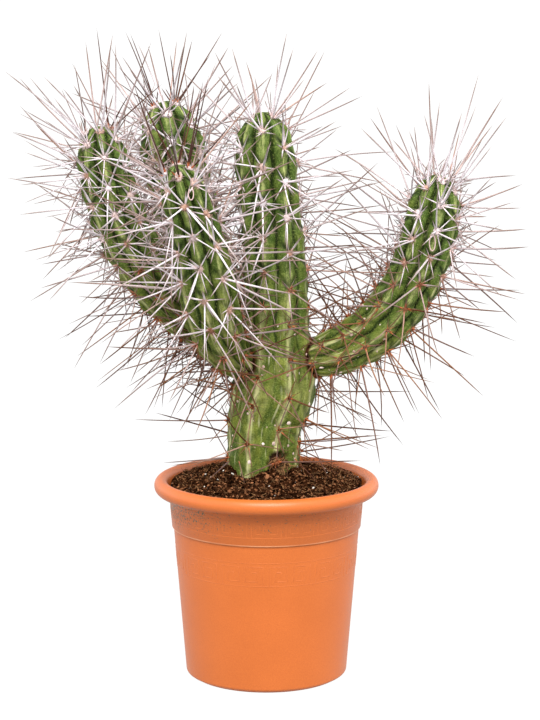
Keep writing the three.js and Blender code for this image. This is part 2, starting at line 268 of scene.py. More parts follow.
def per_mm(size):
    """The scale that gives a pattern features of about this many millimetres."""
    return 1 / (size * MM)

# %% [markdown]
# ## The pot
# The pot is injection-moulded polypropylene, coloured like fired clay. Plastic of this kind is dull, a
# little waxy, and even in colour, but the mould leaves a fine grain, and compost leaves grey-green
# specks that lodge under the rim and in the relief. Three noises give that: one for the grain, one for
# slow patches, and one, cut off high, for the specks. A mask of height and side puts the specks on the
# band, most of them to the left, where the pot was splashed.

# %% Pot sizes, from the frame and the mould
pot_high = np.array(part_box("pot")[1]) / MM
POT_HEIGHT = pot_high[2]
RIM_RADIUS = pot_high[0]
RIM_HALF_WIDTH = 6.6
RIM_HALF_HEIGHT = 7.4
RIM_FOOT_Z = POT_HEIGHT - 2 * RIM_HALF_HEIGHT + 1.5
COLLAR_TOP_RADIUS = 93.6
COLLAR_FOOT_RADIUS = 91
COLLAR_FOOT_Z = 145.8
COLLAR_STEP = 1.6
BASE_RADIUS = 77.9
BASE_CORNER = 4
FOOT_INSET = 5  # the wall ends in a round edge above a foot that is set back, which gives a dark line
FOOT_HEIGHT = 1.6
WALL = 2.6
FLOOR = 3
print(f"pot: {2 * RIM_RADIUS:.0f} mm across, {POT_HEIGHT:.1f} mm high")

# %% Finish of the pot: terracotta-coloured polypropylene
POT_GRAIN = 0.9
POT_PATCH = 45
DIRT_SPECK = 1.5
DIRT_BAND = (148 * MM, 162 * MM)  # heights from which specks begin to lodge, and from which they are thick
DIRT_SIDE = (-30 * MM, -90 * MM)  # from fewest to most, along X
LEDGE_HIGHLIGHT_HEIGHT = 0.6

pot_finish, add, shader, here = new_finish(
    "moulded_polypropylene_terracotta", Roughness=0.42, IOR=1.49, Specular_IOR_Level=0.3
)
grain = add("noise", here, Scale=per_mm(POT_GRAIN), Detail=2.0)
patches = add("noise", here, Scale=per_mm(POT_PATCH), Detail=3.0)
specks = add("noise", here, Scale=per_mm(DIRT_SPECK), Detail=1.0)
axes = add("ShaderNodeSeparateXYZ", here).outputs
reach = add("times", add("range", axes["Z"], *DIRT_BAND), add("range", axes["X"], *DIRT_SIDE, 0.06, 1.3))
reach = add("times", reach, add("below", axes["Z"], (RIM_FOOT_Z + 1) * MM))
speck = add("above", specks, add("times_plus", reach, -0.13, 0.71))
# painted highlight: a thin band at the ledge where the collar meets the wall
edge = add("near", axes["Z"], (COLLAR_FOOT_Z + 0.3) * MM, LEDGE_HIGHLIGHT_HEIGHT * MM)
colour = coats(
    add,
    "A2531F",
    ("A85722", ("range", patches, 0.3, 0.7)),
    ("8E4418", ("range", grain, 0.3, 0.7, 0.0, 0.5)),
    ("3E4436", speck, ("above", reach, 0.05)),  # compost
    ("D09A74", edge, ("range", patches, 0.3, 0.7, 0.1, 0.7)),  # painted highlight: a pale line along the ledge at the collar's foot
)
connect(colour, shader["Base Color"])
connect(add("bump", Strength=0.25, Distance=0.3 * MM, Height=grain), shader["Normal"])

# %% [markdown]
# A mould that turns about one axis gives a shape that a profile can be spun into. The profile runs from
# the middle of the underside, up the outside, over the rolled rim and down the inside. The roll is an
# ellipse. The eight drain holes are cut with a Boolean, because they are the only thing on the shell
# that isn't round about its axis.

# %% Spin the shell
POT_SIDES = 160
RIM_STEPS = 28
FOOT_ROUND = 3  # radius of the wall's lower edge
INSIDE_ROUND = 2


def arc(centre, radii, start, end, steps):
    """Points of an elliptic arc as (radius, height), between two angles in degrees."""
    angles = np.radians(np.linspace(start, end, steps + 1))
    return [(centre[0] + radii[0] * math.cos(a), centre[1] + radii[1] * math.sin(a)) for a in angles]


def wall_radius(z):
    top = COLLAR_FOOT_RADIUS - COLLAR_STEP
    return BASE_RADIUS + (top - BASE_RADIUS) * (z - BASE_CORNER) / (COLLAR_FOOT_Z - BASE_CORNER)


def collar_radius(z):
    share = (z - COLLAR_FOOT_Z) / (RIM_FOOT_Z - COLLAR_FOOT_Z)
    return COLLAR_FOOT_RADIUS + (COLLAR_TOP_RADIUS - COLLAR_FOOT_RADIUS) * share


def spun(name, profile, sides):
    """A closed shell, turned about Z from a profile in millimetres whose ends lie on the axis."""
    form = bmesh.new()
    corners = [form.verts.new((radius * MM, 0, z * MM)) for radius, z in profile]
    edges = [form.edges.new(pair) for pair in zip(corners, corners[1:])]
    turn = {"cent": (0, 0, 0), "axis": (0, 0, 1), "angle": math.tau}
    bmesh.ops.spin(form, geom=corners + edges, steps=sides, use_merge=True, **turn)
    bmesh.ops.remove_doubles(form, verts=form.verts, dist=0.001 * MM)
    bmesh.ops.recalc_face_normals(form, faces=form.faces)
    return mesh_of(name, form)


rim_centre = (RIM_RADIUS - RIM_HALF_WIDTH, POT_HEIGHT - RIM_HALF_HEIGHT)
pot_profile = [
    (0, 0),
    (BASE_RADIUS - FOOT_INSET, 0),
    (BASE_RADIUS - FOOT_INSET, FOOT_HEIGHT),
    *arc((BASE_RADIUS - FOOT_ROUND, FOOT_HEIGHT + FOOT_ROUND), (FOOT_ROUND, FOOT_ROUND), -90, 0, 6),
    (wall_radius(COLLAR_FOOT_Z - 1.2), COLLAR_FOOT_Z - 1.2),
    (wall_radius(COLLAR_FOOT_Z - 1), COLLAR_FOOT_Z - 0.9),
    (COLLAR_FOOT_RADIUS - 0.4, COLLAR_FOOT_Z - 0.3),
    (COLLAR_FOOT_RADIUS, COLLAR_FOOT_Z + 0.3),
    (COLLAR_TOP_RADIUS - 0.1, RIM_FOOT_Z - 1.2),
    (COLLAR_TOP_RADIUS + 0.6, RIM_FOOT_Z - 0.1),
    *arc(rim_centre, (RIM_HALF_WIDTH, RIM_HALF_HEIGHT), -130, 170, RIM_STEPS),
    (COLLAR_TOP_RADIUS - WALL, RIM_FOOT_Z),
    (wall_radius(COLLAR_FOOT_Z) - WALL, COLLAR_FOOT_Z),
    *arc((BASE_RADIUS - WALL - INSIDE_ROUND, FLOOR + INSIDE_ROUND), (INSIDE_ROUND, INSIDE_ROUND), 0, -90, 4),
    (0, FLOOR),
]
pot = new_piece("pot_shell", spun("pot_shell", pot_profile, POT_SIDES))
print(f"{pot.name}: {len(pot_profile)} points, turned in {POT_SIDES} steps")

# %% Cut its drain holes
DRAIN_HOLES = 8
DRAIN_RADIUS = 5
DRAIN_CIRCLE = 50
DRAIN_SIDES = 32
SHARP_ANGLE = math.radians(32)

form = bmesh.new()
for angle in np.arange(DRAIN_HOLES) * math.tau / DRAIN_HOLES:
    size = {"radius1": DRAIN_RADIUS * MM, "radius2": DRAIN_RADIUS * MM, "depth": 4 * FLOOR * MM}
    made = bmesh.ops.create_cone(form, cap_ends=True, segments=DRAIN_SIDES, **size)
    spot = Vector((math.cos(angle), math.sin(angle), 0)) * DRAIN_CIRCLE * MM
    bmesh.ops.translate(form, verts=made["verts"], vec=spot)
cutters = new_piece("drain_cutters", mesh_of("drain_cutters", form))
cut = pot.modifiers.new("drain_holes", "BOOLEAN")
cut.object = cutters
cut.operation = "DIFFERENCE"
cut.solver = "EXACT"
pot.data = bpy.data.meshes.new_from_object(pot.evaluated_get(bpy.context.evaluated_depsgraph_get()))
pot.modifiers.remove(cut)
bpy.data.objects.remove(cutters)
pot.data.shade_smooth()
pot.data.set_sharp_from_angle(angle=SHARP_ANGLE)
pot.data.materials.clear()
pot.data.materials.append(pot_finish)
place(pot, "pot_plastic", "pot")

# %% [markdown]
# ## The relief on the pot
# Two rows of a square spiral, the old Greek key, run round the pot, in low relief, every second one
# mirrored. One spiral is drawn once in a flat square. Geometry Nodes set it in a row, mirror every second
# copy and wrap the row round the cone of the wall. The lines are round rods sunk so deep in the wall that
# only a tenth to a fifth of a millimetre stands out, which is how such a mould is cut.

# %% Draw the spiral once, flat
KEY_PATHS = (  # in a square of side 1: the spiral, and its borders above and below
    [(0.14, 0), (0.14, 0.84), (0.86, 0.84), (0.86, 0.2), (0.38, 0.2), (0.38, 0.6), (0.62, 0.6), (0.62, 0.42)],
    [(0, 1), (1, 1)],
    [(0, 0), (1, 0)],
)
KEY_ROD = 0.9


def key_motif():
    corners, edges = [], []
    for path in KEY_PATHS:
        edges += [(len(corners) + i, len(corners) + i + 1) for i in range(len(path) - 1)]
        corners += path
    mesh = bpy.data.meshes.new("key_motif")
    mesh.from_pydata([(x, y, 0) for x, y in corners], edges, [])
    return mesh


print("the spiral has", len(KEY_PATHS[0]), "corners")

# %% A tree that sets spirals in a row and bends the row round a cone
add, given = new_tree(
    "key_relief", motifs=24, low_z=0.1, high_z=0.12, low_radius=0.09, high_radius=0.09, rod=0.001, cuts=3
)
motif = add("GeometryNodeMeshToCurve", given["Geometry"])
motif = add("GeometryNodeSubdivideCurve", motif, given["cuts"])
slots = add("GeometryNodeMeshLine", Count=given["motifs"], Offset=(1.0, 0.0, 0.0))
index = add("GeometryNodeInputIndex")
odd = add("modulo", index, 2.0)
shifted = add("set_position", slots, Offset=add("xyz", odd))
flip = add("times_plus", odd, -2.0, 1.0)
mirror = add("xyz", flip, 1.0, 1.0)
row = add("instances", shifted, Instance=motif, Scale=mirror)
row = add("realize", row)
spot = add("ShaderNodeSeparateXYZ", add("GeometryNodeInputPosition")).outputs
angle = add("times", spot["X"], math.tau)
angle = add("over", angle, given["motifs"])
height = add("range", spot["Y"], 0.0, 1.0, given["low_z"], given["high_z"], clamp=False)
radius = add("range", spot["Y"], 0.0, 1.0, given["low_radius"], given["high_radius"], clamp=False)
east = add("times", radius, add("cosine", angle))
north = add("times", radius, add("sine", angle))
wrapped = add("set_position", row, Position=add("xyz", east, north, height))
section = add("GeometryNodeCurvePrimitiveCircle", Resolution=8, Radius=given["rod"])
rods = add("GeometryNodeCurveToMesh", wrapped, section, Fill_Caps=True)
key_tree = end_tree(add, rods, given)

# %% Wrap two rows of it round the pot
KEY_ROWS = (  # name, spirals in the row, its lower and upper edge, the wall it lies on, how far it stands out
    ("pot_key_wall", 24, 106.5, 129, wall_radius, 0.17),
    ("pot_key_collar", 36, 154, 173, collar_radius, 0.11),
)

for name, motifs, low_z, high_z, wall, stands_out in KEY_ROWS:
    low_radius, high_radius = (wall(z) - KEY_ROD + stands_out for z in (low_z, high_z))
    grow(
        name, key_motif(), key_tree, "pot_plastic", "pot", motifs=motifs, low_z=low_z * MM,
        high_z=high_z * MM, low_radius=low_radius * MM, high_radius=high_radius * MM, rod=KEY_ROD * MM,
        finish=pot_finish,
    )

# %% [markdown]
# ## The soil
# Potting soil is mostly peat: crumbs of dark moss, pale fibres of its stems, and white grains of perlite.
# The bed is one closed lump that fills the pot, heaped a little towards the plant. Its top is worked out
# by a formula, and the crumbs, fibres and grains are scattered on it by Geometry Nodes. Peat is matt and
# dark. Its base colour is nearly black, partly the peat's own colour and partly painted shade for the
# hollows between the crumbs; the rest of the depth comes from real crumbs that shade each other, not bump.

# %% Finishes of the soil
peat, add, shader, here = new_finish("screened_peat", Roughness=0.95, Specular_IOR_Level=0.0)
clods = add("noise", here, Scale=per_mm(4), Detail=4.0)
lit = ("range", add("attribute", attribute_name="tone"), 0.7, 1.0, 0.0, 0.9)
# nearly black base: partly the peat's own colour, partly painted shade for the hollows between crumbs
colour = coats(add, "050201", ("2E190C", ("range", clods, 0.38, 0.62)), ("8A5C3E", lit))
connect(colour, shader["Base Color"])
connect(add("bump", Strength=0.6, Distance=0.5 * MM, Height=clods), shader["Normal"])

fibre, add, shader, _ = new_finish("peat_fibre", Roughness=0.8, Specular_IOR_Level=0.05)
tone = add("attribute", attribute_name="tone")
connect(coats(add, "24130A", ("84603F", tone)), shader["Base Color"])

perlite, add, shader, here = new_finish("expanded_perlite", Roughness=0.9, Specular_IOR_Level=0.25)
pits = add("noise", here, Scale=per_mm(0.8), Detail=2.0)
connect(coats(add, "8E857A", ("C9C2B8", ("range", pits, 0.35, 0.6))), shader["Base Color"])

# %% The bed: a closed lump with a heaped, uneven top
SOIL_EDGE_Z = 188
SOIL_CROWN_Z = 205
SOIL_LUMP = 1.2
SOIL_LUMP_WIDTH = 14
SOIL_BUMPS = ((7, 1.6, 0), (2.5, 0.8, 9))  # width and height of the bumps, and where their noise is cut
SOIL_MARGIN = 4
HEAP = 9  # the soil is heaped unevenly where it meets the trunk
HEAP_RADIUS = 36
HEAP_WIDTH = 13
HEAP_CUT = 20
GAP = 0.3
BED_RINGS = 70
BED_SIDES = 200
soil_edge = COLLAR_TOP_RADIUS - WALL - GAP


def soil_height(x, y):
    """Height of the soil's top, in millimetres."""
    away = math.hypot(x, y)
    share = max(0.0, 1 - away / (soil_edge - SOIL_MARGIN))
    rise = SOIL_EDGE_Z + (SOIL_CROWN_Z - SOIL_EDGE_Z) * math.sin(share * math.pi / 2)
    u, v = x * math.pi / SOIL_LUMP_WIDTH, y * math.pi / SOIL_LUMP_WIDTH
    lump = math.sin(u + 1) * math.cos(0.8 * v) + 0.6 * math.sin(1.6 * u + 1.8 * v)
    crumb = sum(noise.noise(Vector((x, y, cut)) / width) * height for width, height, cut in SOIL_BUMPS)
    near_trunk = math.exp(-(((away - HEAP_RADIUS) / HEAP_WIDTH) ** 2))
    heap = noise.noise(Vector((x, y, HEAP_CUT)) / HEAP_WIDTH) * HEAP * near_trunk
    return rise + SOIL_LUMP * lump + crumb + heap


def soil_bed():
    """The bed's mesh: rings of the top from the middle out, then its side and its foot."""
    angles = np.linspace(0, math.tau, BED_SIDES, endpoint=False)
    spots = [(0, 0, soil_height(0, 0))]
    for radius in np.linspace(0, soil_edge, BED_RINGS + 1)[1:]:
        ring = [(radius * math.cos(a), radius * math.sin(a)) for a in angles]
        spots += [(x, y, soil_height(x, y)) for x, y in ring]
    side = [
        (soil_edge, RIM_FOOT_Z),
        (wall_radius(COLLAR_FOOT_Z) - WALL - GAP, COLLAR_FOOT_Z),
        (BASE_RADIUS - WALL - GAP - 1, FLOOR + GAP + 1),
        (BASE_RADIUS - WALL - GAP - 3, FLOOR + GAP),
    ]
    for radius, z in side:
        spots += [(radius * math.cos(a), radius * math.sin(a), z) for a in angles]
    spots.append((0, 0, FLOOR + GAP))
    rings = BED_RINGS + len(side)
    around = [(i, (i + 1) % BED_SIDES) for i in range(BED_SIDES)]
    faces = [(0, 1 + i, 1 + j) for i, j in around]
    for ring in range(rings - 1):
        low = 1 + ring * BED_SIDES
        faces += [(low + i, low + BED_SIDES + i, low + BED_SIDES + j, low + j) for i, j in around]
    last = 1 + (rings - 1) * BED_SIDES
    faces += [(len(spots) - 1, last + j, last + i) for i, j in around]
    mesh = bpy.data.meshes.new("soil_bed")
    mesh.from_pydata((np.array(spots) * MM).tolist(), [], faces)
    mesh.shade_smooth()
    mesh.materials.append(peat)
    return mesh


bed = place(new_piece("soil_bed", soil_bed()), "potting_soil", "soil")

# %% [markdown]
# Grains are scattered by one tree, whatever they are: peat crumbs and perlite here, and corky specks on
# the stems later. Points are spread over the faces of the source, more where its attribute "carries" is
# high. Each point gets a ball of few faces, turned and squashed at random, and a noise then pushes its
# corners about, so that no two grains look alike.

# %% A tree that scatters grains
MIDDLE = (0.5, 0.5, 0.5)  # of the colours that a noise gives


def roughened(add, geometry, size, detail, reach):
    """Pushes corners about by a noise with features of a size in millimetres."""
    push = add("noise", Scale=per_mm(size), Detail=detail).outputs["Color"]
    return add("set_position", geometry, Offset=add("v_scale", add("v_minus", push, MIDDLE), reach))


add, given = new_tree(
    "grains", density=1000.0, smallest=0.001, largest=0.002, flatness=1.0, jagged=0.0, faces=1, seed=0
)
density = add("times", add("named", "carries", data_type="FLOAT"), given["density"])
spread = add("GeometryNodeDistributePointsOnFaces", given["Geometry"], Density=density, Seed=given["seed"])
marked = add("store", spread, Name="tone", Value=add("random", Seed=1), data_type="FLOAT")
ball = add("GeometryNodeMeshIcoSphere", Radius=1.0, Subdivisions=given["faces"])
size = add("range", add("power", add("random", Seed=2), 2.0), 0.0, 1.0, given["smallest"], given["largest"])
along = add("times", size, add("random", Min=0.7, Max=1.4, Seed=3))
thick = add("times", size, given["flatness"])
turn = add("xyz", 0.0, 0.0, add("random", Min=0.0, Max=math.tau, Seed=4))
spin = add("FunctionNodeRotateRotation", spread.outputs["Rotation"], turn, rotation_space="LOCAL")
placed = add("instances", marked, Instance=ball, Rotation=spin, Scale=add("xyz", along, size, thick))
grain_tree = end_tree(add, roughened(add, add("realize", placed), 1.7, 0.0, given["jagged"]), given)


# %% Say where grains lie, and scatter crumbs and perlite on the bed
def carried(source, share):
    """A copy of a piece's mesh that says, corner by corner, how much of a scattered thing it carries."""
    mesh = source.data.copy()
    values = [float(share(vertex)) for vertex in mesh.vertices]
    mesh.attributes.new("carries", "FLOAT", "POINT").data.foreach_set("value", values)
    return mesh


def scatter(name, mesh, slot, node, size, jagged, **amounts):
    """Grows grains of a range of sizes in millimetres."""
    smallest, largest = (end * MM for end in size)
    sizes = {"smallest": smallest, "largest": largest, "jagged": jagged * MM}
    grow(name, mesh, grain_tree, slot, node, **sizes, **amounts)


def faces_up(vertex):
    return vertex.normal.z > 0.5 and vertex.co.z > RIM_FOOT_Z * MM


SCATTERED = {
    "soil_crumbs": dict(density=305000.0, size=(0.45, 1.4), flatness=0.8, jagged=1.6, faces=1, finish=peat),
    "soil_clods": dict(density=5000.0, size=(1.0, 2.4), flatness=0.7, jagged=3.0, faces=2, finish=peat),
    "soil_perlite": dict(density=1900.0, size=(0.5, 1.7), flatness=0.8, jagged=0.9, faces=2, finish=perlite),
}
for seed, (name, kind) in enumerate(SCATTERED.items(), start=11):
    scatter(name, carried(bed, faces_up), "potting_soil", "soil", seed=seed, **kind)

# %% [markdown]
# ## Needles
# Spines, peat fibres and the hairs of the wool are all needles: a round, tapered shaft that may bend a
# little. One tree grows them. A needle of length 1 and radius 1 is made once and set on each point, scaled
# to its reach and girth and aimed along a vector. After that its points are pushed sideways by the square
# of their distance along it, so that it bends more towards its tip.

# %% A tree that grows needles on points
def stood(add, given, shape, wide, tall):
    """Sets a shape on each point, scaled, with its Z axis along the point's aim, as real faces."""
    aimed = add("align", Vector=add("named", "aim", data_type="FLOAT_VECTOR"))
    scale = add("xyz", wide, wide, tall)
    return add("realize", add("instances", given["Geometry"], Instance=shape, Rotation=aimed, Scale=scale))


add, given = new_tree("needles", sides=5, joints=5, taper=0.6)
shaft = add("GeometryNodeCurvePrimitiveLine", Start=(0.0, 0.0, 0.0), End=(0.0, 0.0, 1.0))
shaft = add("GeometryNodeResampleCurve", shaft, Count=given["joints"])
along = add("GeometryNodeSplineParameter")
shaft = add("store", shaft, Name="along", Value=along, data_type="FLOAT")
girth = add("power", add("minus", 1.0, along), given["taper"])
section = add("GeometryNodeCurvePrimitiveCircle", Resolution=given["sides"], Radius=1.0)
needle = add("GeometryNodeCurveToMesh", shaft, section, Scale=girth, Fill_Caps=True)
needle = add("GeometryNodeMergeByDistance", needle, Distance=0.001)
wide, tall, along = (add("named", label, data_type="FLOAT") for label in ("girth", "reach", "along"))
real = stood(add, given, needle, wide, tall)
push = add("v_scale", add("named", "bend", data_type="FLOAT_VECTOR"), add("times", along, along))
needle_tree = end_tree(add, add("set_position", real, Offset=push), given)

# %% Lay fibres on the soil
FIBRES = 1200
FIBRE_REACH = (3, 11)
FIBRE_RISE = (-10, 60)  # degrees above the level
FIBRE_GIRTH = (0.14, 0.4)
FIBRE_LIFT = 1.2  # of its root above the bed
FIBRE_BEND = 0.16
FIBRE_AREA = (0.12, 0.96)  # of the bed, from its middle: fibres lie between these shares
FIBRE_TORN = (0.4, 1)  # what is left of a fibre's reach
random = np.random.default_rng(41)
away = soil_edge * np.sqrt(random.uniform(*FIBRE_AREA, FIBRES))
round_angle = random.uniform(0, math.tau, FIBRES)
aim_angle = random.uniform(0, math.tau, FIBRES)
rise = np.radians(random.uniform(*FIBRE_RISE, FIBRES))
reach = random.uniform(*FIBRE_REACH, FIBRES) * random.uniform(*FIBRE_TORN, FIBRES)
spots = [(r * math.cos(a), r * math.sin(a)) for r, a in zip(away, round_angle)]
spots = np.array([(x, y, soil_height(x, y) + FIBRE_LIFT) for x, y in spots])
aim = np.stack([np.cos(aim_angle) * np.cos(rise), np.sin(aim_angle) * np.cos(rise), np.sin(rise)], axis=1)
inside = np.linalg.norm((spots + aim * reach[:, None])[:, :2], axis=1) < soil_edge
bend = random.normal(0, FIBRE_BEND, (FIBRES, 3)) * reach[:, None] * (1, 1, 0.3)
fibres = points_mesh(
    "fibre_roots", spots[inside], aim=aim[inside], reach=reach[inside] * MM,
    girth=random.uniform(*FIBRE_GIRTH, FIBRES)[inside] * MM, bend=bend[inside] * MM,
    tone=random.uniform(0, 1, FIBRES)[inside] ** 1.6,
)
grow("soil_fibres", fibres, needle_tree, "potting_soil", "soil", sides=3, joints=5, taper=0.3, finish=fibre)

# %% [markdown]
# ## The stems
# Trunk and arms are built alike. Each has a centre line through a few points, with a radius at each of
# them, and eight ribs round it. The tip is a dome. The ribs are broad and round with a sharp groove
# between, they swell at each areole, the woolly cushion that the spines grow from, and they grow
# shallow towards the root, where the old skin has filled out. All of that is a rule, so the skin is
# grown by Geometry Nodes from the rows of the centre line. Skinning the points by hand or sculpting
# would give one stem at a time, where the rule gives all five.

# %% The stems' centre lines: x, y, z and radius over the ribs, from the root end to the tip
STEMS = {
    "trunk": {
        "points": [
            (-3, 0, 150, 31), (-3, 0, 200, 34.5), (-1, 0, 248, 36.5), (7, 0, 281, 40.5),
            (8, 0, 335, 34), (8, 0, 400, 31), (2, 0, 462, 29.5), (-4, 0, 542, 28),
        ],
        "turn": (-25, 1), "rib_depth": (0.02, 0.38), "pitch": 16.5,
    },
    "arm_right": {
        "points": [
            (35, -4, 306, 9), (40, -4, 308, 14.5), (46, -5, 310, 19), (57, -6, 312.5, 21.5),
            (80, -8, 322, 24.5), (111, -10, 345, 27), (137, -12, 383, 27), (152, -12, 425, 26.5),
            (162, -12, 484, 24.5),
        ],
        "turn": (-35, -35), "rib_depth": (0.2, 0.36), "pitch": 12.6,
    },
    "arm_front_left": {
        "points": [
            (-22, -24, 302, 13), (-35, -38, 318, 19), (-46, -52, 342, 25.5), (-54, -68, 383, 27.5),
            (-61, -82, 424, 25), (-72, -97, 467, 21.5), (-81, -110, 500, 19),
        ],
        "turn": (-52, -45), "rib_depth": (0.2, 0.38), "pitch": 15.5,
    },
    "arm_back_left": {
        "points": [
            (-14, 26, 314, 13), (-30, 40, 336, 19), (-45, 54, 362, 25.5), (-62, 67, 398, 30),
            (-79, 80, 444, 31.5), (-91, 88, 498, 31.5), (-100, 95, 547, 30),
        ],
        "turn": (10, 3), "rib_depth": (0.2, 0.38), "pitch": 14.4,
    },
    "arm_far_left": {
        "points": [
            (-24, 0, 300, 13), (-47, 1, 321, 18), (-70, 2, 344, 22.5), (-100, 4, 374, 25.5),
            (-125, 6, 411, 26.5), (-146, 8, 459, 26), (-160, 8, 528, 24),
        ],
        "turn": (38, 60), "rib_depth": (0.2, 0.38), "pitch": 14.2,
    },
}
RIBS = 8
DOME = 1.5  # height of the rounded tip, in stem radii
AREOLE_SWELL = 0.05
GROOVE_POWER = 3.5  # how flat the ribs are, and how sharp the grooves
GROOVE_WANDER = 0.05  # the grooves wind round the areoles, in ribs
TURN_POWER = 3  # the ribs turn most near the tip
DEPTH_POWER = 1.4  # and the grooves are shallow in the lower half
YOUNG_RINGS = 2  # areoles lie closer in the young growth at the tip
ROOT_MARGIN = 4
LINE_STEPS = np.linspace(0, 1, 401)
TANGENT_STEP = 0.0001
TO_FRONT = np.array([0, -1, 0])
print("stems:", ", ".join(STEMS))

# %% [markdown]
# The centre line is a Catmull-Rom curve, which passes through its points and needs no handles. A place on
# a stem is given by its distance from the tip, because a cactus grows from there. The areoles sit in
# rings that are counted from the tip too, so that a ring number may also be a fraction.


# %% Places along a stem
def unit(vectors):
    return vectors / np.linalg.norm(vectors, axis=-1, keepdims=True)


def mix(pair, share):
    return pair[0] + (pair[1] - pair[0]) * share


def sample_line(points, t):
    """Place and radius at t, from 0 at the root end to 1 at the tip."""
    points = np.array(points, float)
    knots = np.vstack([2 * points[0] - points[1], points, 2 * points[-1] - points[-2]])
    spans = len(points) - 1
    t = np.asarray(t)
    span = np.minimum((t * spans).astype(int), spans - 1)
    u = (t * spans - span)[..., None]
    before, start, end, after = (knots[span + i] for i in range(4))
    slope_start, slope_end = (end - before) / 2, (after - start) / 2
    cubic = 2 * start - 2 * end + slope_start + slope_end
    square = -3 * start + 3 * end - 2 * slope_start - slope_end
    return ((cubic * u + square) * u + slope_start) * u + start


def stem_frame(stem, distance):
    """Centre, axes, radius, groove depth and turn of a stem at a distance from its tip."""
    along = np.clip(1 - np.asarray(distance) / stem["length"], 0, 1)
    t = np.interp(along * stem["length"], stem["arc"], LINE_STEPS)
    spot = sample_line(stem["points"], t)
    ahead = sample_line(stem["points"], np.clip(t + TANGENT_STEP, 0, 1))
    behind = sample_line(stem["points"], np.clip(t - TANGENT_STEP, 0, 1))
    up = unit((ahead - behind)[..., :3])
    front = unit(TO_FRONT - up * (up @ TO_FRONT)[..., None])
    from_dome = np.maximum(0, 1 - distance / (DOME * spot[..., 3]))
    return {
        "centre": spot[..., :3],
        "up": up,
        "front": front,
        "side": np.cross(up, front),
        "radius": spot[..., 3] * np.sqrt(1 - from_dome**2),
        "depth": mix(stem["rib_depth"], along**DEPTH_POWER),
        "turn": np.radians(mix(stem["turn"], along**TURN_POWER)),
    }


def ring_distance(stem, ring):
    """Distance of a ring of areoles from the tip."""
    young = np.minimum(ring, YOUNG_RINGS)
    grown = np.maximum(0, ring - YOUNG_RINGS)
    return stem["pitch"] * (young * (young + 1) / (2 * (YOUNG_RINGS + 1)) + grown)


def radial(at, rib):
    """Direction from the centre line out to a rib."""
    angle = at["turn"] + rib * math.tau / RIBS
    return at["front"] * math.cos(angle) + at["side"] * math.sin(angle)


# %% Measure the stems along their lines
for index, (name, stem) in enumerate(STEMS.items()):
    steps = np.diff(sample_line(stem["points"], LINE_STEPS)[:, :3], axis=0)
    stem["name"] = name
    stem["index"] = index
    stem["arc"] = np.concatenate([[0], np.cumsum(np.linalg.norm(steps, axis=1))])
    stem["length"] = stem["arc"][-1]
    stem["rings"] = 0
    while ring_distance(stem, stem["rings"] + 1) < stem["length"] - ROOT_MARGIN:
        stem["rings"] += 1
    print(f"{name}: {stem['length']:.0f} mm long, {stem['rings']} rings of areoles")

# %% [markdown]
# ## The skin
# A cactus's skin is a tough, waxy cuticle over green tissue. It is satin rather than glossy. The crests of
# the ribs are paler than their sides, partly their own colour and partly a painted highlight, and the grooves
# are painted dark green as painted shade. With age the green turns yellowish and dull, and the ridges wear
# to pale bands, with fine streaks and threads that run along the stem. Over each areole the rib has a small
# notch in the shape of a V, which the finish paints dark as its shade. The tree that grows the skin stores
# how far across a rib each point lies, how old it looks and its place on the straightened stem, so that the
# finish can follow the stem round its bends. Where a stem is scarred, the skin is brown and corky; where an
# arm joins the trunk, the same dark brown is painted shade.

# %% Finish of the skin: waxy cactus epidermis
AGEING = (70 * MM, 310 * MM)  # distance from the tip where skin begins to look old, and where it does
LONG_NOISES = ((0.09, 2.4, 3.0), (0.14, 8, 3.0), (0.07, 2, 1.0))  # squeeze along the stem, size, detail

wax = {"Roughness": 0.5, "IOR": 1.42, "Specular_IOR_Level": 0.07}
skin, add, shader, _ = new_finish("waxy_cactus_epidermis", **wax)
across, sunk, pit, aged, cork = (
    add("attribute", attribute_name=label).outputs["Fac"]
    for label in ("across", "sunk", "pit", "aged", "cork")
)
straight = add("attribute", attribute_name="straight").outputs["Vector"]
streaks, zones, threads = (
    add("noise", add("v_times", straight, (1.0, 1.0, squeeze)), Scale=per_mm(size), Detail=detail)
    for squeeze, size, detail in LONG_NOISES
)
blotch = add("noise", straight, Scale=per_mm(18), Detail=3.0)
mottle = add("noise", straight, Scale=per_mm(5), Detail=5.0, Roughness=0.65)
fine = add("noise", straight, Scale=per_mm(1.3), Detail=3.0, Roughness=0.7)
pores = add("noise", straight, Scale=per_mm(1.1), Detail=2.0)
age = add("plus", add("range", blotch, 0.3, 0.7, -0.35, 0.35), add("smooth", aged, *AGEING), use_clamp=True)
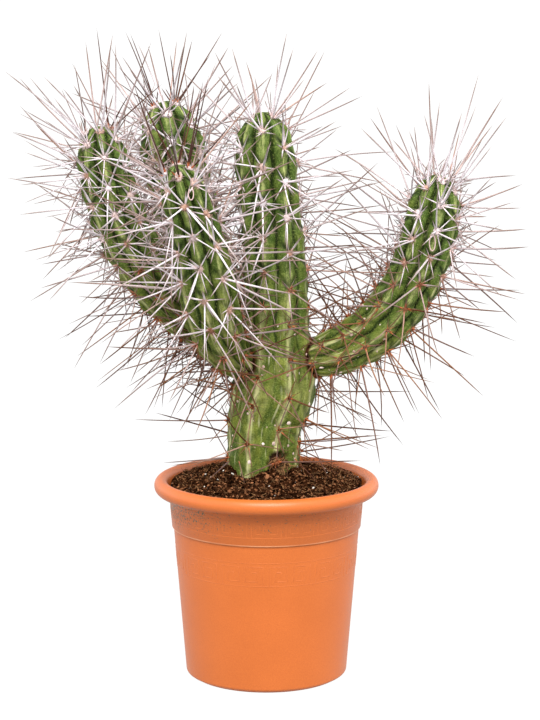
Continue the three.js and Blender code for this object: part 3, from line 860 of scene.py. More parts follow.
colour = coats(
    add,
    "435524",
    ("666C29", age),
    ("9CA066", ("smooth", across, 0.5, 0.0), ("range", streaks, 0.4, 0.62, 0.1, 0.95)),  # crests: paler skin, partly a painted highlight
    ("101806", ("smooth", sunk, 0.07, 0.2, 0.0, 0.96)),  # painted shade in the grooves
    ("2C3E12", ("range", mottle, 0.46, 0.62, 0.0, 0.7)),
    ("30431A", ("range", across, 0.5, 1.0, 0.0, 0.45), age),  # painted shade on the sides of old ribs, towards the grooves
    ("2E401A", ("range", zones, 0.5, 0.34, 0.0, 0.75), age),
    ("A3A163", ("range", zones, 0.53, 0.68, 0.0, 0.45), age),
    ("B6B280", ("smooth", across, 0.26, 0.06), ("range", streaks, 0.36, 0.56, 0.15, 0.85), age),  # bands
    ("0C1404", ("smooth", across, 0.82, 0.97), ("range", age, 0.35, 0.9, 0.95, 0.15)),  # painted shade: a thin dark line deep in the groove
    ("8C9A50", ("range", fine, 0.52, 0.68, 0.0, 0.45)),
    ("2C3E12", ("range", fine, 0.48, 0.3, 0.0, 0.6)),
    ("B8B48C", ("range", threads, 0.65, 0.72, 0.0, 0.55), age),
    ("101A06", pit, ("range", age, 0.0, 0.8, 1.0, 0.5)),  # painted shade of the V-shaped notch over each areole
    # dark brown: real cork on the trunk's scar, painted shade where an arm meets the trunk
    (coats(add, "0E0804", ("4A2E1C", ("range", streaks, 0.35, 0.65))), cork),
)
connect(colour, shader["Base Color"])
relief = add("plus", streaks, pores)
connect(add("bump", Strength=0.35, Distance=0.5 * MM, Height=relief), shader["Normal"])

# %% [markdown]
# The tree makes a grid with a row for each point of the centre line and a column for each step round the
# stem. Every corner looks up its row's centre, axes and radius on the source mesh, then moves out by the
# rib rule. The last column falls on the first, so the seam is merged, and so are the tip and the root
# end, where the radius is nothing.

# %% A tree that grows a ribbed skin: its inputs, and the values of its row
NOTCH_PHASE = 0.7  # the crease lies a little above each areole
NOTCH_SLANT = 2.0  # and its two arms rise to the grooves like a V
NOTCH_REACH = 2.2
NOTCH_POWER = 4.0
STRAIGHT_RADIUS = 30  # of the straightened stem that patterns are laid on
ROW_VALUES = {"front": "FLOAT_VECTOR", "side": "FLOAT_VECTOR"}
ROW_VALUES.update(dict.fromkeys(("radius", "depth", "turn", "ring", "down"), "FLOAT"))

add, given = new_tree(
    "ribbed_skin", rows=2, around=96, ribs=8, wander=GROOVE_WANDER, swell=AREOLE_SWELL, notch=0.07,
    uneven=0.06, pace=1.0, scar=(0.0, 0.0, 0.0), scar_size=0.001, scar_depth=0.0,
)
columns = add("plus", given["around"], 1.0)
index = add("GeometryNodeInputIndex")
row = add("floor", add("over", index, columns))
at = {}
for label, kind in ROW_VALUES.items():
    named = add("named", label, data_type=kind)
    at[label] = add("GeometryNodeSampleIndex", given["Geometry"], named, row, data_type=kind)
position = add("GeometryNodeInputPosition")
centre = add("GeometryNodeSampleIndex", given["Geometry"], position, row, data_type="FLOAT_VECTOR")

# %% Where a corner lies round the stem
rib = add("times", add("over", add("modulo", index, columns), given["around"]), given["ribs"])
wind = add("sine", add("times", rib, math.pi))
wind = add("times", wind, add("cosine", add("times", at["ring"], math.pi)))
angle = add("times", add("plus", rib, add("times", wind, given["wander"])), math.tau)
angle = add("plus", add("over", angle, given["ribs"]), at["turn"])
cosine, sine = add("cosine", angle), add("sine", angle)
outward = add("v_plus", add("v_scale", at["front"], cosine), add("v_scale", at["side"], sine))
nearest = add("round", rib)
across = add("times", add("absolute", add("minus", rib, nearest)), 2.0)
crest = add("minus", 1.0, across)
straight = add("v_scale", add("xyz", cosine, sine), STRAIGHT_RADIUS * MM)
straight = add("v_plus", add("v_plus", straight, add("xyz", 0.0, 0.0, at["down"])), given["scar"])

# %% How far it moves out: groove, swelling, crease and unevenness
sunk = add("times", add("power", across, GROOVE_POWER), at["depth"])
phase = add("times", add("plus", at["ring"], nearest), math.pi)
wave = add("times_plus", add("times", add("cosine", phase), crest), given["swell"], 1.0)
# The crease both notches the rib and, stored for the finish, is painted dark as the notch's shade
crease = add("cosine", add("plus", phase, add("times_plus", across, NOTCH_SLANT, NOTCH_PHASE)))
crease = add("power", add("most", crease, 0.0), NOTCH_POWER)
pit = add("times", crease, add("times", crest, NOTCH_REACH, use_clamp=True))
notch = add("times", add("times", pit, crest), given["notch"])
lumps = add("minus", add("noise", straight, Scale=per_mm(24), Detail=2.0), 0.5)
lumps = add("times_plus", lumps, given["uneven"], 1.0)
radius = at["radius"]
for part in (add("minus", 1.0, sunk), wave, lumps, add("minus", 1.0, notch)):
    radius = add("times", radius, part)
spot = add("v_plus", centre, add("v_scale", outward, radius))

# %% The scar, and what the finish reads
# Round the trunk's scar this is real cork; round an arm's root end it is painted shade at the joint
ragged = add("minus", add("noise", spot, Scale=per_mm(3), Detail=4.0, Roughness=0.7), 0.5)
from_scar = add("over", add("v_distance", spot, given["scar"]).outputs["Value"], given["scar_size"])
cork = add("smooth", add("times_plus", ragged, 1.1, from_scar), 1.1, 0.75)
dent = add("times", add("times", cork, given["scar_depth"]), -1.0)
spot = add("v_plus", spot, add("v_scale", outward, dent))
aged = add("times", at["down"], given["pace"])
body = add("GeometryNodeMeshGrid", Vertices_X=given["rows"], Vertices_Y=columns)
numbers = {"across": across, "sunk": sunk, "pit": pit, "down": at["down"], "aged": aged, "cork": cork}
for label, value in numbers.items():
    body = add("store", body, Name=label, Value=value, data_type="FLOAT")
for label, value in {"straight": straight, "spot": spot}.items():
    body = add("store", body, Name=label, Value=value, data_type="FLOAT_VECTOR")
body = add("set_position", body, Position=add("named", "spot", data_type="FLOAT_VECTOR"))
body = add("GeometryNodeMergeByDistance", body, Distance=0.02 * MM)
skin_tree = end_tree(add, body, given)

# %% Grow the five skins
ROWS_PER_RING = 8
TRUNK_SCAR = (13, -34, 212)  # a brown hollow at the foot, in front
SCAR_DEPTH = {"trunk": 6}
SCAR_SIZE = {"trunk": 12, "arm_right": 17}  # reach of the dark brown skin: real cork round the scar, painted shade round an arm's joint
# how far painted shade reaches round the root end of the other arms
JOINT_SHADE_SIZE = 15
PACE = {"trunk": 1.0, "arm_front_left": 1.5, "arm_right": 1.25}  # how soon a stem's skin looks old
USUAL_PACE = 1.25

for name, stem in STEMS.items():
    last_ring = YOUNG_RINGS / 2 + stem["length"] / stem["pitch"]
    rings = np.linspace(0, last_ring, int(last_ring * ROWS_PER_RING))
    rings = np.append(rings, last_ring)
    down = ring_distance(stem, rings)
    at = stem_frame(stem, down)
    at["radius"][-1] = 0
    values = {label: at[label] for label in ("front", "side", "depth", "turn")}
    rows = points_mesh(
        name + "_rows", at["centre"], radius=at["radius"] * MM, ring=rings, down=down * MM, **values
    )
    scar = TRUNK_SCAR if name == "trunk" else stem["points"][0][:3]
    size, deep = SCAR_SIZE.get(name, JOINT_SHADE_SIZE) * MM, SCAR_DEPTH.get(name, 0) * MM
    scarred = {"scar": tuple(np.array(scar, float) * MM), "scar_size": size, "scar_depth": deep}
    aging = {"pace": PACE.get(name, USUAL_PACE), "finish": skin}
    stem["skin"] = grow(
        name + "_skin", rows, skin_tree, "cactus_skin", name, rows=len(rings), **aging, **scarred
    )

# %% Paint dark brown shade on the skin where a stem meets the next
JOINT_SHADE_REACH = 4.2  # painted shade: an arm and the trunk are painted dark brown this close to each other
JOINT_SHADE_STRENGTH = 1.6

surfaces = {}
for name, stem in STEMS.items():
    mesh = stem["skin"].data
    faces = [face.vertices for face in mesh.polygons]
    surfaces[name] = BVHTree.FromPolygons([vertex.co for vertex in mesh.vertices], faces)
for name, stem in STEMS.items():
    others = [surface for other, surface in surfaces.items() if (name == "trunk") != (other == "trunk")]
    marks = stem["skin"].data.attributes["cork"].data
    for vertex in stem["skin"].data.vertices:
        near = [surface.find_nearest(vertex.co, JOINT_SHADE_REACH * MM)[3] for surface in others]
        near = min([away for away in near if away is not None], default=JOINT_SHADE_REACH * MM)
        mark = marks[vertex.index]
        mark.value = max(mark.value, JOINT_SHADE_STRENGTH * (1 - near / (JOINT_SHADE_REACH * MM)))
    print(f"{name}: {sum(mark.value > 0.5 for mark in marks)} corners are corky")

# %% [markdown]
# ## The spines
# Each areole bears a few long spines that stand out and a star of short ones that lie close to the skin.
# The long ones are the same as on the solid model, drawn by the same seeded rule, so the two reach
# equally far. A spine that would cross another spine or stem is drawn again in another direction. The short
# ones are too fine for a solid model and are added here.

# %% Sizes and clearances of the long spines
LONG_SPINES = (
    {"tilt": (0, 42), "reach": (68, 106), "girth": 1.15},
    {"tilt": (8, 60), "reach": (54, 98), "girth": 1.05},
    {"tilt": (25, 70), "reach": (36, 80), "girth": 0.95},
    {"tilt": (50, 72), "reach": (16, 32), "girth": 0.85},
)
SPINE_SPREAD = 1.6  # distance of a spine's root from the middle of its areole
SPINE_CLEARANCE = 2.7  # from one spine's axis to that of another stem's spine
OWN_CLEARANCE = 1.5  # and to that of its own stem's spine
SKIN_CLEARANCE = 3
SPINE_OWN_START = 10  # from here on a spine keeps clear of its own stem
SPINE_TEST_STEP = 6
SPINE_TRIES = 20
SPINE_SINK = 2.6  # depth of a spine's root below the skin
MIN_SLANT = 0.4  # a spine that lies flatter is sunk no longer than this asks
SLICE_STEP = 7.5  # distance between the round slices that stand for a stem in the test
SPINE_FLOOR_Z = 206
SPINE_SIDE_X = 249
SPINE_TOP_Z = 624
TIP_LEAN = 0.6  # spines near a stem's tip lean along the stem
TIP_LENGTH = 60
SPINE_SWING = 1.4
SEED = 5
WORD = 0xFFFFFFFF
print(len(LONG_SPINES), "long spines are tried at each areole")


# %% Seeded random numbers, and places on the skin
def seeded_random(seed):
    """A small generator of even random numbers from 0 to 1, the same on every machine."""
    state = seed

    def draw():
        nonlocal state
        state = (state + 0x6D2B79F5) & WORD
        t = (state ^ (state >> 15)) * (1 | state) & WORD
        t ^= (t + ((t ^ (t >> 7)) * (61 | t) & WORD)) & WORD
        return ((t ^ (t >> 14)) & WORD) / 2**32

    return draw


def skin_point(stem, ring, rib):
    """A point of the skin. rib counts ribs round the stem: whole on a crest, and half in a groove."""
    at = stem_frame(stem, ring_distance(stem, ring))
    nearest = math.floor(rib + 0.5)
    across = 2 * abs(rib - nearest)
    swell = 1 + AREOLE_SWELL * math.cos(math.pi * (ring + nearest)) * (1 - across)
    radius = at["radius"] * (1 - at["depth"] * across**GROOVE_POWER) * swell
    wander = GROOVE_WANDER * math.sin(math.pi * rib) * math.cos(math.pi * ring)
    return at["centre"] + radial(at, rib + wander) * radius


def areole_frame(stem, ring, rib):
    """Place and axes of an areole."""
    distance = ring_distance(stem, ring)
    at, below = stem_frame(stem, distance), stem_frame(stem, distance + 0.5)
    slope = (below["radius"] - at["radius"]) / 0.5
    normal = unit(radial(at, rib) + at["up"] * slope)
    side = unit(np.cross(at["up"], normal))
    flat = (skin_point(stem, ring, rib - 0.2) + skin_point(stem, ring, rib + 0.2)) / 2
    return {
        "stem": stem,
        "ring": ring,
        "rib": rib,
        "distance": distance,
        "flat": flat,
        "crest": skin_point(stem, ring, rib),
        "normal": normal,
        "side": side,
        "up": np.cross(normal, side),
        "lean": at["up"] * TIP_LEAN * max(0, 1 - distance / TIP_LENGTH),
    }


# %% Draw one spine, and measure how close it comes to others
def draw_spine(areole, kind, start_angle, draw):
    tilt = math.radians(mix(kind["tilt"], draw()))
    swing = start_angle + (draw() - 0.5) * SPINE_SWING
    reach = mix(kind["reach"], draw())
    across = areole["up"] * math.cos(swing) + areole["side"] * math.sin(swing)
    aim = unit(areole["normal"] * math.cos(tilt) + across * math.sin(tilt) + areole["lean"])
    root = areole["flat"] + across * SPINE_SPREAD
    sink = SPINE_SINK / max(MIN_SLANT, aim @ areole["normal"])
    drawn = {"areole": areole, "root": root, "aim": aim, "reach": reach, "sink": sink}
    return drawn | {"girth": kind["girth"]}


def spine_gaps(spine, roots, spans):
    """Shortest distance from a straight spine to each of the others."""
    da, db = spine["aim"] * spine["reach"], spans
    between = spine["root"] - roots
    aa, bb, ab = da @ da, (db * db).sum(axis=1), db @ da
    ra, rb = between @ da, (between * db).sum(axis=1)
    cross = aa * bb - ab * ab
    s = np.where(cross > 1e-6, np.clip((ab * rb - bb * ra) / np.where(cross > 1e-6, cross, 1), 0, 1), 0)
    t = np.clip((ab * s + rb) / bb, 0, 1)
    s = np.clip((ab * t - ra) / aa, 0, 1)
    return np.linalg.norm(between + da * s[:, None] - db * t[:, None], axis=1)


# %% Keep a spine clear of the stems and of the soil
FIRST_SLICE = 3
slices = []
for stem in STEMS.values():
    at = stem_frame(stem, np.arange(FIRST_SLICE, stem["length"], SLICE_STEP))
    slices += [(stem["index"], *centre, radius) for centre, radius in zip(at["centre"], at["radius"])]
slices = np.array(slices)
print(len(slices), "slices stand for the stems")


def clears_stems(spine, floor_z):
    """Whether a spine keeps clear of the other stems, of its own where it bends back, and of the soil."""
    tip = spine["root"] + spine["aim"] * spine["reach"]
    if not floor_z <= tip[2] <= SPINE_TOP_Z or abs(tip[0]) > SPINE_SIDE_X:
        return False
    along = np.arange(-spine["sink"], spine["reach"] + SPINE_TEST_STEP, SPINE_TEST_STEP)
    spots = spine["root"] + spine["aim"] * np.minimum(along, spine["reach"])[:, None]
    away = np.linalg.norm(spots[:, None] - slices[None, :, 1:4], axis=2)
    own = slices[:, 0] == spine["areole"]["stem"]["index"]
    room = slices[:, 4] + np.where(own, 0, SKIN_CLEARANCE)
    counts = ~(own[None] & (along < SPINE_OWN_START)[:, None])
    return not np.any(counts & (away < room))


# %% Draw the long spines
areoles, spines = [], []
for stem in STEMS.values():
    draw = seeded_random(SEED + stem["index"])
    for ring in range(1, stem["rings"] + 1):
        for rib in range(ring % 2, RIBS, 2):
            areole = areole_frame(stem, ring, rib)
            if areole["flat"][2] < SPINE_FLOOR_Z:
                continue
            areoles.append(areole)
            start_angle = draw() * math.tau
            for i, kind in enumerate(LONG_SPINES):
                for _ in range(SPINE_TRIES):
                    spine = draw_spine(areole, kind, start_angle + i * math.tau / len(LONG_SPINES), draw)
                    if not clears_stems(spine, SPINE_FLOOR_Z):
                        continue
                    roots = np.array([s["root"] for s in spines]).reshape(-1, 3)
                    spans = np.array([s["aim"] * s["reach"] for s in spines]).reshape(-1, 3)
                    room = [OWN_CLEARANCE if s["areole"]["stem"] is stem else SPINE_CLEARANCE for s in spines]
                    if np.all(spine_gaps(spine, roots, spans) > room):
                        spines.append(spine)
                        break
print(f"{len(areoles)} areoles with {len(spines)} long spines")

# %% [markdown]
# The short spines, the radials, spread like a star, so their directions are even round the areole with
# some swing. On old areoles they are worn shorter and much thinner, so each is drawn with the age of
# its areole, and the newest areoles have none yet. The stems on the left carry more spines of middle
# length as well. At the foot of the trunk a spine may lie down over the soil.

# %% Draw the radials and those of middle length
RADIALS = {"tilt": (58, 84), "reach": (14, 27), "girth": 0.8}
RADIAL_COUNT = 5
MIDDLES = {"tilt": (25, 78), "reach": (34, 72), "girth": 0.7}
MIDDLE_COUNT = {"trunk": 0, "arm_right": 0, "arm_front_left": 1, "arm_back_left": 1, "arm_far_left": 2}
NEW_TIPS = {"arm_front_left": 9, "arm_back_left": 8, "arm_far_left": 7}  # growth this near the tip is new
RADIAL_SWING = 1.1
OLD_REACH = 0.6  # radials on old areoles are worn to this share of their length
OLD_GIRTH = 0.42  # and are this share as thick
WHITE_LENGTH = dict(trunk=150, arm_right=90, arm_front_left=165, arm_back_left=115, arm_far_left=130)
FADE = 80  # from white to brown, along a stem
SHORT_FLOOR_Z = 197
SHORT_SEED = 17


def youth(areole):
    """1 where an areole's spines are young and bleached white, 0 where they are old and brown."""
    return min(1.0, max(0.0, 0.5 + (WHITE_LENGTH[areole["stem"]["name"]] - areole["distance"]) / FADE))


for stem in STEMS.values():
    draw = seeded_random(SHORT_SEED + stem["index"])
    for areole in (a for a in areoles if a["stem"] is stem):
        if areole["distance"] < NEW_TIPS.get(stem["name"], 0):
            continue
        start_angle = draw() * math.tau
        radials = dict(RADIALS, girth=RADIALS["girth"] * mix((OLD_GIRTH, 1), youth(areole)))
        radials["reach"] = [reach * mix((OLD_REACH, 1), youth(areole)) for reach in RADIALS["reach"]]
        kinds = [radials] * RADIAL_COUNT + [MIDDLES] * MIDDLE_COUNT[stem["name"]]
        for i, kind in enumerate(kinds):
            angle = start_angle + i * math.tau / RADIAL_COUNT + (draw() - 0.5) * RADIAL_SWING
            spine = draw_spine(areole, kind, angle, draw)
            if clears_stems(spine, SHORT_FLOOR_Z):
                spines.append(spine)
print(f"{len(spines)} spines in all")

# %% [markdown]
# A few old spines follow no rule. They droop from the foot of the trunk over the soil, and fan out
# from under the right arm's joint. They are placed one by one, by their root and their tip.

# %% Add the spines that droop
DROOPING = {
    "trunk": (
        ((-26, -25, 213), (-20, -64, 199)),
        ((-34, -13, 212), (-56, -44, 198)),
        ((31, -8, 222), (94, -46, 197)),
        ((30, -13, 217), (72, -40, 201)),
        ((27, -19, 214), (48, -54, 201)),
    ),
    "arm_right": (
        ((47, -13, 294), (69, -22, 261)),
        ((48, -12, 294), (103, -20, 252)),
        ((49, -10, 294), (99, -8, 248)),
        ((48, -11, 293), (95, -16, 226)),
        ((50, -12, 294), (88, -34, 246)),
    ),
}
DROOPING_GIRTH = 0.8

for name, ends in DROOPING.items():
    for root, tip in ends:
        root, span = np.array(root, float), np.subtract(tip, root)
        reach = np.linalg.norm(span)
        old_areole = {"stem": STEMS[name], "distance": STEMS[name]["length"], "normal": span / reach}
        drooping = {"areole": old_areole, "root": root, "aim": span / reach}
        spines.append(drooping | {"reach": reach, "girth": DROOPING_GIRTH})
print(f"{len(spines)} spines with those that droop")

# %% [markdown]
# A spine is a dead, hard leaf. When it is new it is nearly black with an orange foot. Within a year it
# bleaches to a silvery white, and old spines weather to a brown that is darker towards the tip. Spines
# that face the front, where the light comes from, are painted whiter as painted light, and those that face
# away are painted darker as painted shade. So each spine carries four numbers: how bleached and lit it is
# painted, how new, how orange its foot is, and a tone of its own. The finish mixes them with the place along
# the spine.

# %% Finish of the spines: hard, bleached plant fibre
FOOT_REACH = (6.5 * MM, 2.5 * MM)  # from where the foot's orange begins, to where it is full

horn = {"Roughness": 0.45, "IOR": 1.5, "Specular_IOR_Level": 0.08}
spine_finish, add, shader, here = new_finish("bleached_spine", **horn)
along, bleached, new_growth, orange, tone, reach = (
    add("attribute", attribute_name=label)
    for label in ("along", "bleached", "new_growth", "orange", "tone", "reach")
)
grain = add("noise", here, Scale=per_mm(4), Detail=2.0)
to_tip = add("smooth", along, 0.22, 0.95)
colour = coats(
    add, coats(add, "4C2A18", ("8E6244", tone), ("301A10", ("times", to_tip, 0.6))),
    # white where bleached, and whiter still where painted as lit
    (coats(add, "C9C1C5", ("685244", ("times", to_tip, 0.9))), bleached),
    ("5E4438", ("range", grain, 0.45, 0.75, 0.0, 0.3)),
    ("321608", new_growth, ("range", along, 0.2, 1.0, 1.0, 0.6)),
    ("A65A34", ("smooth", add("times", along, reach), *FOOT_REACH), orange),
)
connect(colour, shader["Base Color"])

# %% Colour and bend each spine, and grow them stem by stem
OLD_SPINE_GIRTH = 0.85  # old spines have lost their outer layer
NEW_SPINE_GIRTH = 0.95
GIRTH_DRAW = (0.66, 0.96)
NEW_SHARE = {"arm_far_left": 0.4}  # the share of its newest spines that are still dark
# Painted light: a spine is painted whiter the more it and its areole face the front, where the light comes
# from
SUN = unit(np.array([-0.15, -0.95, 0.25]))
SHADE_BLEACH = 0.35  # how white a young spine is painted where it faces away from the light, from 0 to 1
OLD_PAINTED_PALENESS = 0.08  # and how much whiter an old one is painted where it faces the light
BLEACH_SPREAD = 0.1
PAINTED_LIGHT_SHARES = (0.6, 0.8, 0.1)  # of the painted light: from the spine's own direction, from its areole's, and a share all round
NEW_DARK = 0.6
BEND_SHARE = (0.01, 0.06)
STRAND_BEND = 0.2  # the same for hairs and strips of bark


def every(rows, key):
    """One value of every row, as an array."""
    return np.array([row[key] for row in rows])


def curved(aim, amount, random):
    """The sideways bend of each needle, in a random direction."""
    return np.cross(aim, random.normal(0, 1, aim.shape)) * amount[:, None] * MM


random = np.random.default_rng(7)
for name, stem in STEMS.items():
    own = [spine for spine in spines if spine["areole"]["stem"] is stem]
    from_areoles = [spine["areole"] for spine in own]
    aim, reach = every(own, "aim"), every(own, "reach")
    young = np.array([youth(areole) for areole in from_areoles])
    own_share, areole_share, all_round = PAINTED_LIGHT_SHARES
    facing = every(from_areoles, "normal") @ SUN
    painted_lit = np.clip(aim @ SUN * own_share + facing * areole_share + all_round, 0, 1)
    bleached = young * mix((SHADE_BLEACH, 1), painted_lit) + OLD_PAINTED_PALENESS * painted_lit
    bleached += random.normal(0, BLEACH_SPREAD, len(own))
    worn = np.where(reach > RADIALS["reach"][1], mix((OLD_SPINE_GIRTH, 1), young), 1)
    is_new = every(from_areoles, "distance") < NEW_TIPS.get(name, 0)
    new_growth = np.where(is_new, random.uniform(0.8, 1, len(own)), 0)
    new_growth *= random.uniform(0, 1, len(own)) < NEW_SHARE.get(name, 1)
    worn = np.where(new_growth > 0, NEW_SPINE_GIRTH, worn)
    across = np.cross(aim, random.normal(0, 1, aim.shape))
    roots = points_mesh(
        name + "_spine_roots", every(own, "root"), aim=aim, reach=reach * MM,
        girth=every(own, "girth") * worn * random.uniform(*GIRTH_DRAW, len(own)) * MM,
        bend=across * (reach * random.uniform(*BEND_SHARE, len(own)))[:, None] * MM,
        bleached=np.clip(bleached - NEW_DARK * new_growth, 0, 1), tone=random.uniform(0, 1, len(own)) ** 2,
        new_growth=new_growth,
        orange=np.clip(1.1 - young * 0.8 + new_growth, 0, 1) * random.uniform(0.6, 1, len(own)),
    )
    shape = {"sides": 5, "joints": 7, "taper": 0.28}
    grow(name + "_spines", roots, needle_tree, "cactus_spines", name, finish=spine_finish, **shape)

# %% [markdown]
# Two thin spines have dried into loops. A loop is a curve with a round bevel, made a mesh.

# %% Hang the two loops
CURLS = {"arm_front_left": ((-66.5, -131, 482), 4.6, 10), "arm_right": ((154, -41, 431), 5.5, 15)}
CURL_GIRTH = 0.5
CURL_STEPS = 24
CURL_TURN = 0.93  # of a full turn
CURL_TWIST = -2  # how far a loop's end stands in front of its foot
CURL_LOOK = {"bleached": 0.75, "tone": 0.9, "orange": 0.3}

for name, (foot, width, height) in CURLS.items():
    line = bpy.data.curves.new(name + "_curl", "CURVE")
    line.dimensions = "3D"
    line.bevel_depth = CURL_GIRTH * MM
    line.bevel_resolution = 2
    line.use_fill_caps = True
    spline = line.splines.new("POLY")
    spline.points.add(CURL_STEPS)
    for i, point in enumerate(spline.points):
        angle = math.tau * CURL_TURN * i / CURL_STEPS
        across, down = width / 2 * math.sin(angle), height / 2 * (math.cos(angle) - 1)
        twist = CURL_TWIST * i / CURL_STEPS
        point.co = (*(np.add(foot, (across, twist, down)) * MM), 1)
    drawn = new_piece(name + "_curl_line", line)
    graph = bpy.context.evaluated_depsgraph_get()
    loop = bpy.data.meshes.new_from_object(drawn.evaluated_get(graph))
    bpy.data.objects.remove(drawn)
    form = bmesh.new()
    form.from_mesh(loop)
    bmesh.ops.remove_doubles(form, verts=form.verts, dist=0.01 * MM)
    form.to_mesh(loop)
    form.free()
    for label, value in CURL_LOOK.items():
        loop.attributes.new(label, "FLOAT", "POINT").data.foreach_set("value", [value] * len(loop.vertices))
    loop.materials.clear()
    loop.materials.append(spine_finish)
    place(new_piece(name + "_curl", loop), "cactus_spines", name)

# %% [markdown]
# ## Areoles and wool
# An areole is a cushion of short, felted hairs. It is cream where it is young, grey-brown where it is
# older, and rusty with black bits where it is oldest. The cushion is a clump of a few balls, squashed on
# the crest of the rib and roughened, and a ruff of fine hairs, grown with the needle tree, gives it a
# soft edge. Both are far too small to comb by hand.

# %% Finish of the wool: felted plant hair
felt, add, shader, here = new_finish("felted_areole_wool", Roughness=0.95, Specular_IOR_Level=0.1)
tone = add("attribute", attribute_name="tone")
tufts = add("noise", here, Scale=per_mm(1.3), Detail=3.0)
stains = add("noise", here, Scale=per_mm(2.5), Detail=1.0)
colour = coats(
    add,
    "6A3A20",
    ("A08070", ("range", tone, 0.15, 0.5)),
    ("C6BEC2", ("range", tone, 0.5, 0.85)),
    ("9A6C50", ("range", stains, 0.5, 0.62, 0.0, 0.22)),
    ("170D08", ("range", tufts, 0.52, 0.62, 0.0, 0.9), ("minus", 1.0, tone)),  # black bits
)
connect(colour, shader["Base Color"])

# %% A tree that sets a squashed cushion on each point
CUSHION_HEIGHT = 0.6  # of its half width

add, given = new_tree("cushions", jagged=0.001)
ball = add("GeometryNodeMeshUVSphere", Segments=9, Rings=6, Radius=1.0)
size = add("named", "size", data_type="FLOAT")
real = stood(add, given, ball, size, add("times", size, CUSHION_HEIGHT))
cushion_tree = end_tree(add, roughened(add, real, 1.5, 1.0, given["jagged"]), given)

# %% Sizes and tones of the wool
CUSHION_SIZE = (2.2, 3.8)  # half the width of the wool, on old areoles and on young ones
NEW_CUSHION = 1.25  # the wool is thicker on new growth
NEW_WOOL = 2.2  # which reaches so many times as far as the new spines
NEW_TONE = (0.5, 0.85)
WOOL_TONE = {
    "trunk": (0.5, 0.85),
    "arm_right": (0.5, 0.85),
    "arm_front_left": (0.4, 0.75),
    "arm_back_left": (0.5, 0.9),
    "arm_far_left": (0.45, 0.8),
}
LEAST_TONE = {"trunk": 0.05}  # of old wool, before it is drawn
USUAL_LEAST = 0.35
CLUMP = 4  # balls in a cushion
CLUMP_BALL = 0.62
CLUMP_SPREAD = 0.55
CLUMP_SUNK = 0.3  # of its balls' middles below the crest
CLUMP_ROUGH = 1.2
RUFF_HAIRS = 34
RUFF_TILT = (30, 88)
RUFF_REACH = (2.0, 4.6)
RUFF_GIRTH = 0.2
RUFF_SPREAD = 0.7
RUFF_LIFT = 0.2
WOOL_DRAW = (0.8, 1.15)
print(f"wool: {CLUMP} balls and {RUFF_HAIRS} hairs on each areole")


# %% Grow a stem's cushions and its ruffs
def spread_round(own, count, random):
    """The areole of each of so many things on each areole, and a random direction flat on its rib."""
    each = np.repeat(np.arange(len(own)), count)
    swing = random.uniform(0, math.tau, len(each))[:, None]
    return each, every(own, "up")[each] * np.cos(swing) + every(own, "side")[each] * np.sin(swing)


def grow_cushions(name, own, size, tone, random):
    each, across = spread_round(own, CLUMP, random)
    apart = across * (size[each] * CLUMP_SPREAD * random.uniform(0.3, 1, len(each)))[:, None]
    ball = size[each] * CLUMP_BALL * random.uniform(0.8, 1.2, len(each)) * MM
    normal = every(own, "normal")
    places = (every(own, "crest") - normal * CLUMP_SUNK)[each] + apart
    seats = points_mesh(name + "_seats", places, aim=normal[each], size=ball, tone=tone[each])
    look = {"jagged": CLUMP_ROUGH * MM, "finish": felt}
    grow(name + "_areoles", seats, cushion_tree, "cactus_spines", name, **look)


def grow_ruff(name, own, size, tone, random):
    each, across = spread_round(own, RUFF_HAIRS, random)
    tilt = np.radians(random.uniform(*RUFF_TILT, len(each)))[:, None]
    normal = every(own, "normal")
    aim = normal[each] * np.cos(tilt) + across * np.sin(tilt)
    reach = random.uniform(*RUFF_REACH, len(each)) * (size / CUSHION_SIZE[1])[each]
    hairs = points_mesh(
        name + "_hair_roots",
        (every(own, "crest") + normal * RUFF_LIFT)[each] + across * (size * RUFF_SPREAD)[each][:, None],
        aim=aim, reach=reach * MM, girth=np.full(len(each), RUFF_GIRTH * MM),
        bend=curved(aim, reach * STRAND_BEND, random), tone=tone[each],
    )
    shape = {"sides": 3, "joints": 3, "taper": 0.5}
    grow(name + "_wool", hairs, needle_tree, "cactus_spines", name, finish=felt, **shape)


# %% Draw the wool of every stem
random = np.random.default_rng(29)
for name, stem in STEMS.items():
    own = [areole for areole in areoles if areole["stem"] is stem]
    is_new = every(own, "distance") < NEW_WOOL * NEW_TIPS.get(name, 0)
    young = np.array([youth(areole) for areole in own])
    size = mix(CUSHION_SIZE, young) * random.uniform(*WOOL_DRAW, len(own))
    size = size * np.where(is_new, NEW_CUSHION, 1)
    tone = np.maximum(young, LEAST_TONE.get(name, USUAL_LEAST)) * random.uniform(*WOOL_TONE[name], len(own))
    tone = np.where(is_new, random.uniform(*NEW_TONE, len(own)), tone)
    grow_cushions(name, own, size, tone, random)
    grow_ruff(name, own, size, tone, random)

# %% [markdown]
# ## Corky specks
# Old skin is dotted with small pinkish scabs of cork, where insects or grit have hurt it. They stand a
# little proud, so they are made, with the tree that scattered the soil, and not painted.

# %% Scatter specks of cork on the old skin
cork, add, shader, _ = new_finish("scab_cork", Roughness=0.9, Specular_IOR_Level=0.15)
tone = add("attribute", attribute_name="tone")
connect(coats(add, "9C7E70", ("D2C2BA", tone)), shader["Base Color"])
CORK_FROM = {"trunk": 190, "arm_right": 150}  # distance from the tip where the specks begin
CORK = dict(density=3800.0, size=(0.45, 1.9), flatness=0.45, jagged=0.5, faces=2, seed=31, finish=cork)
SOIL_TOP = 200 * MM

for name, start in CORK_FROM.items():
    body = STEMS[name]["skin"]
    down = body.data.attributes["down"].data
    mesh = carried(body, lambda vertex: down[vertex.index].value > start * MM and vertex.co.z > SOIL_TOP)
    scatter(name + "_cork_specks", mesh, "cactus_skin", name, **CORK)

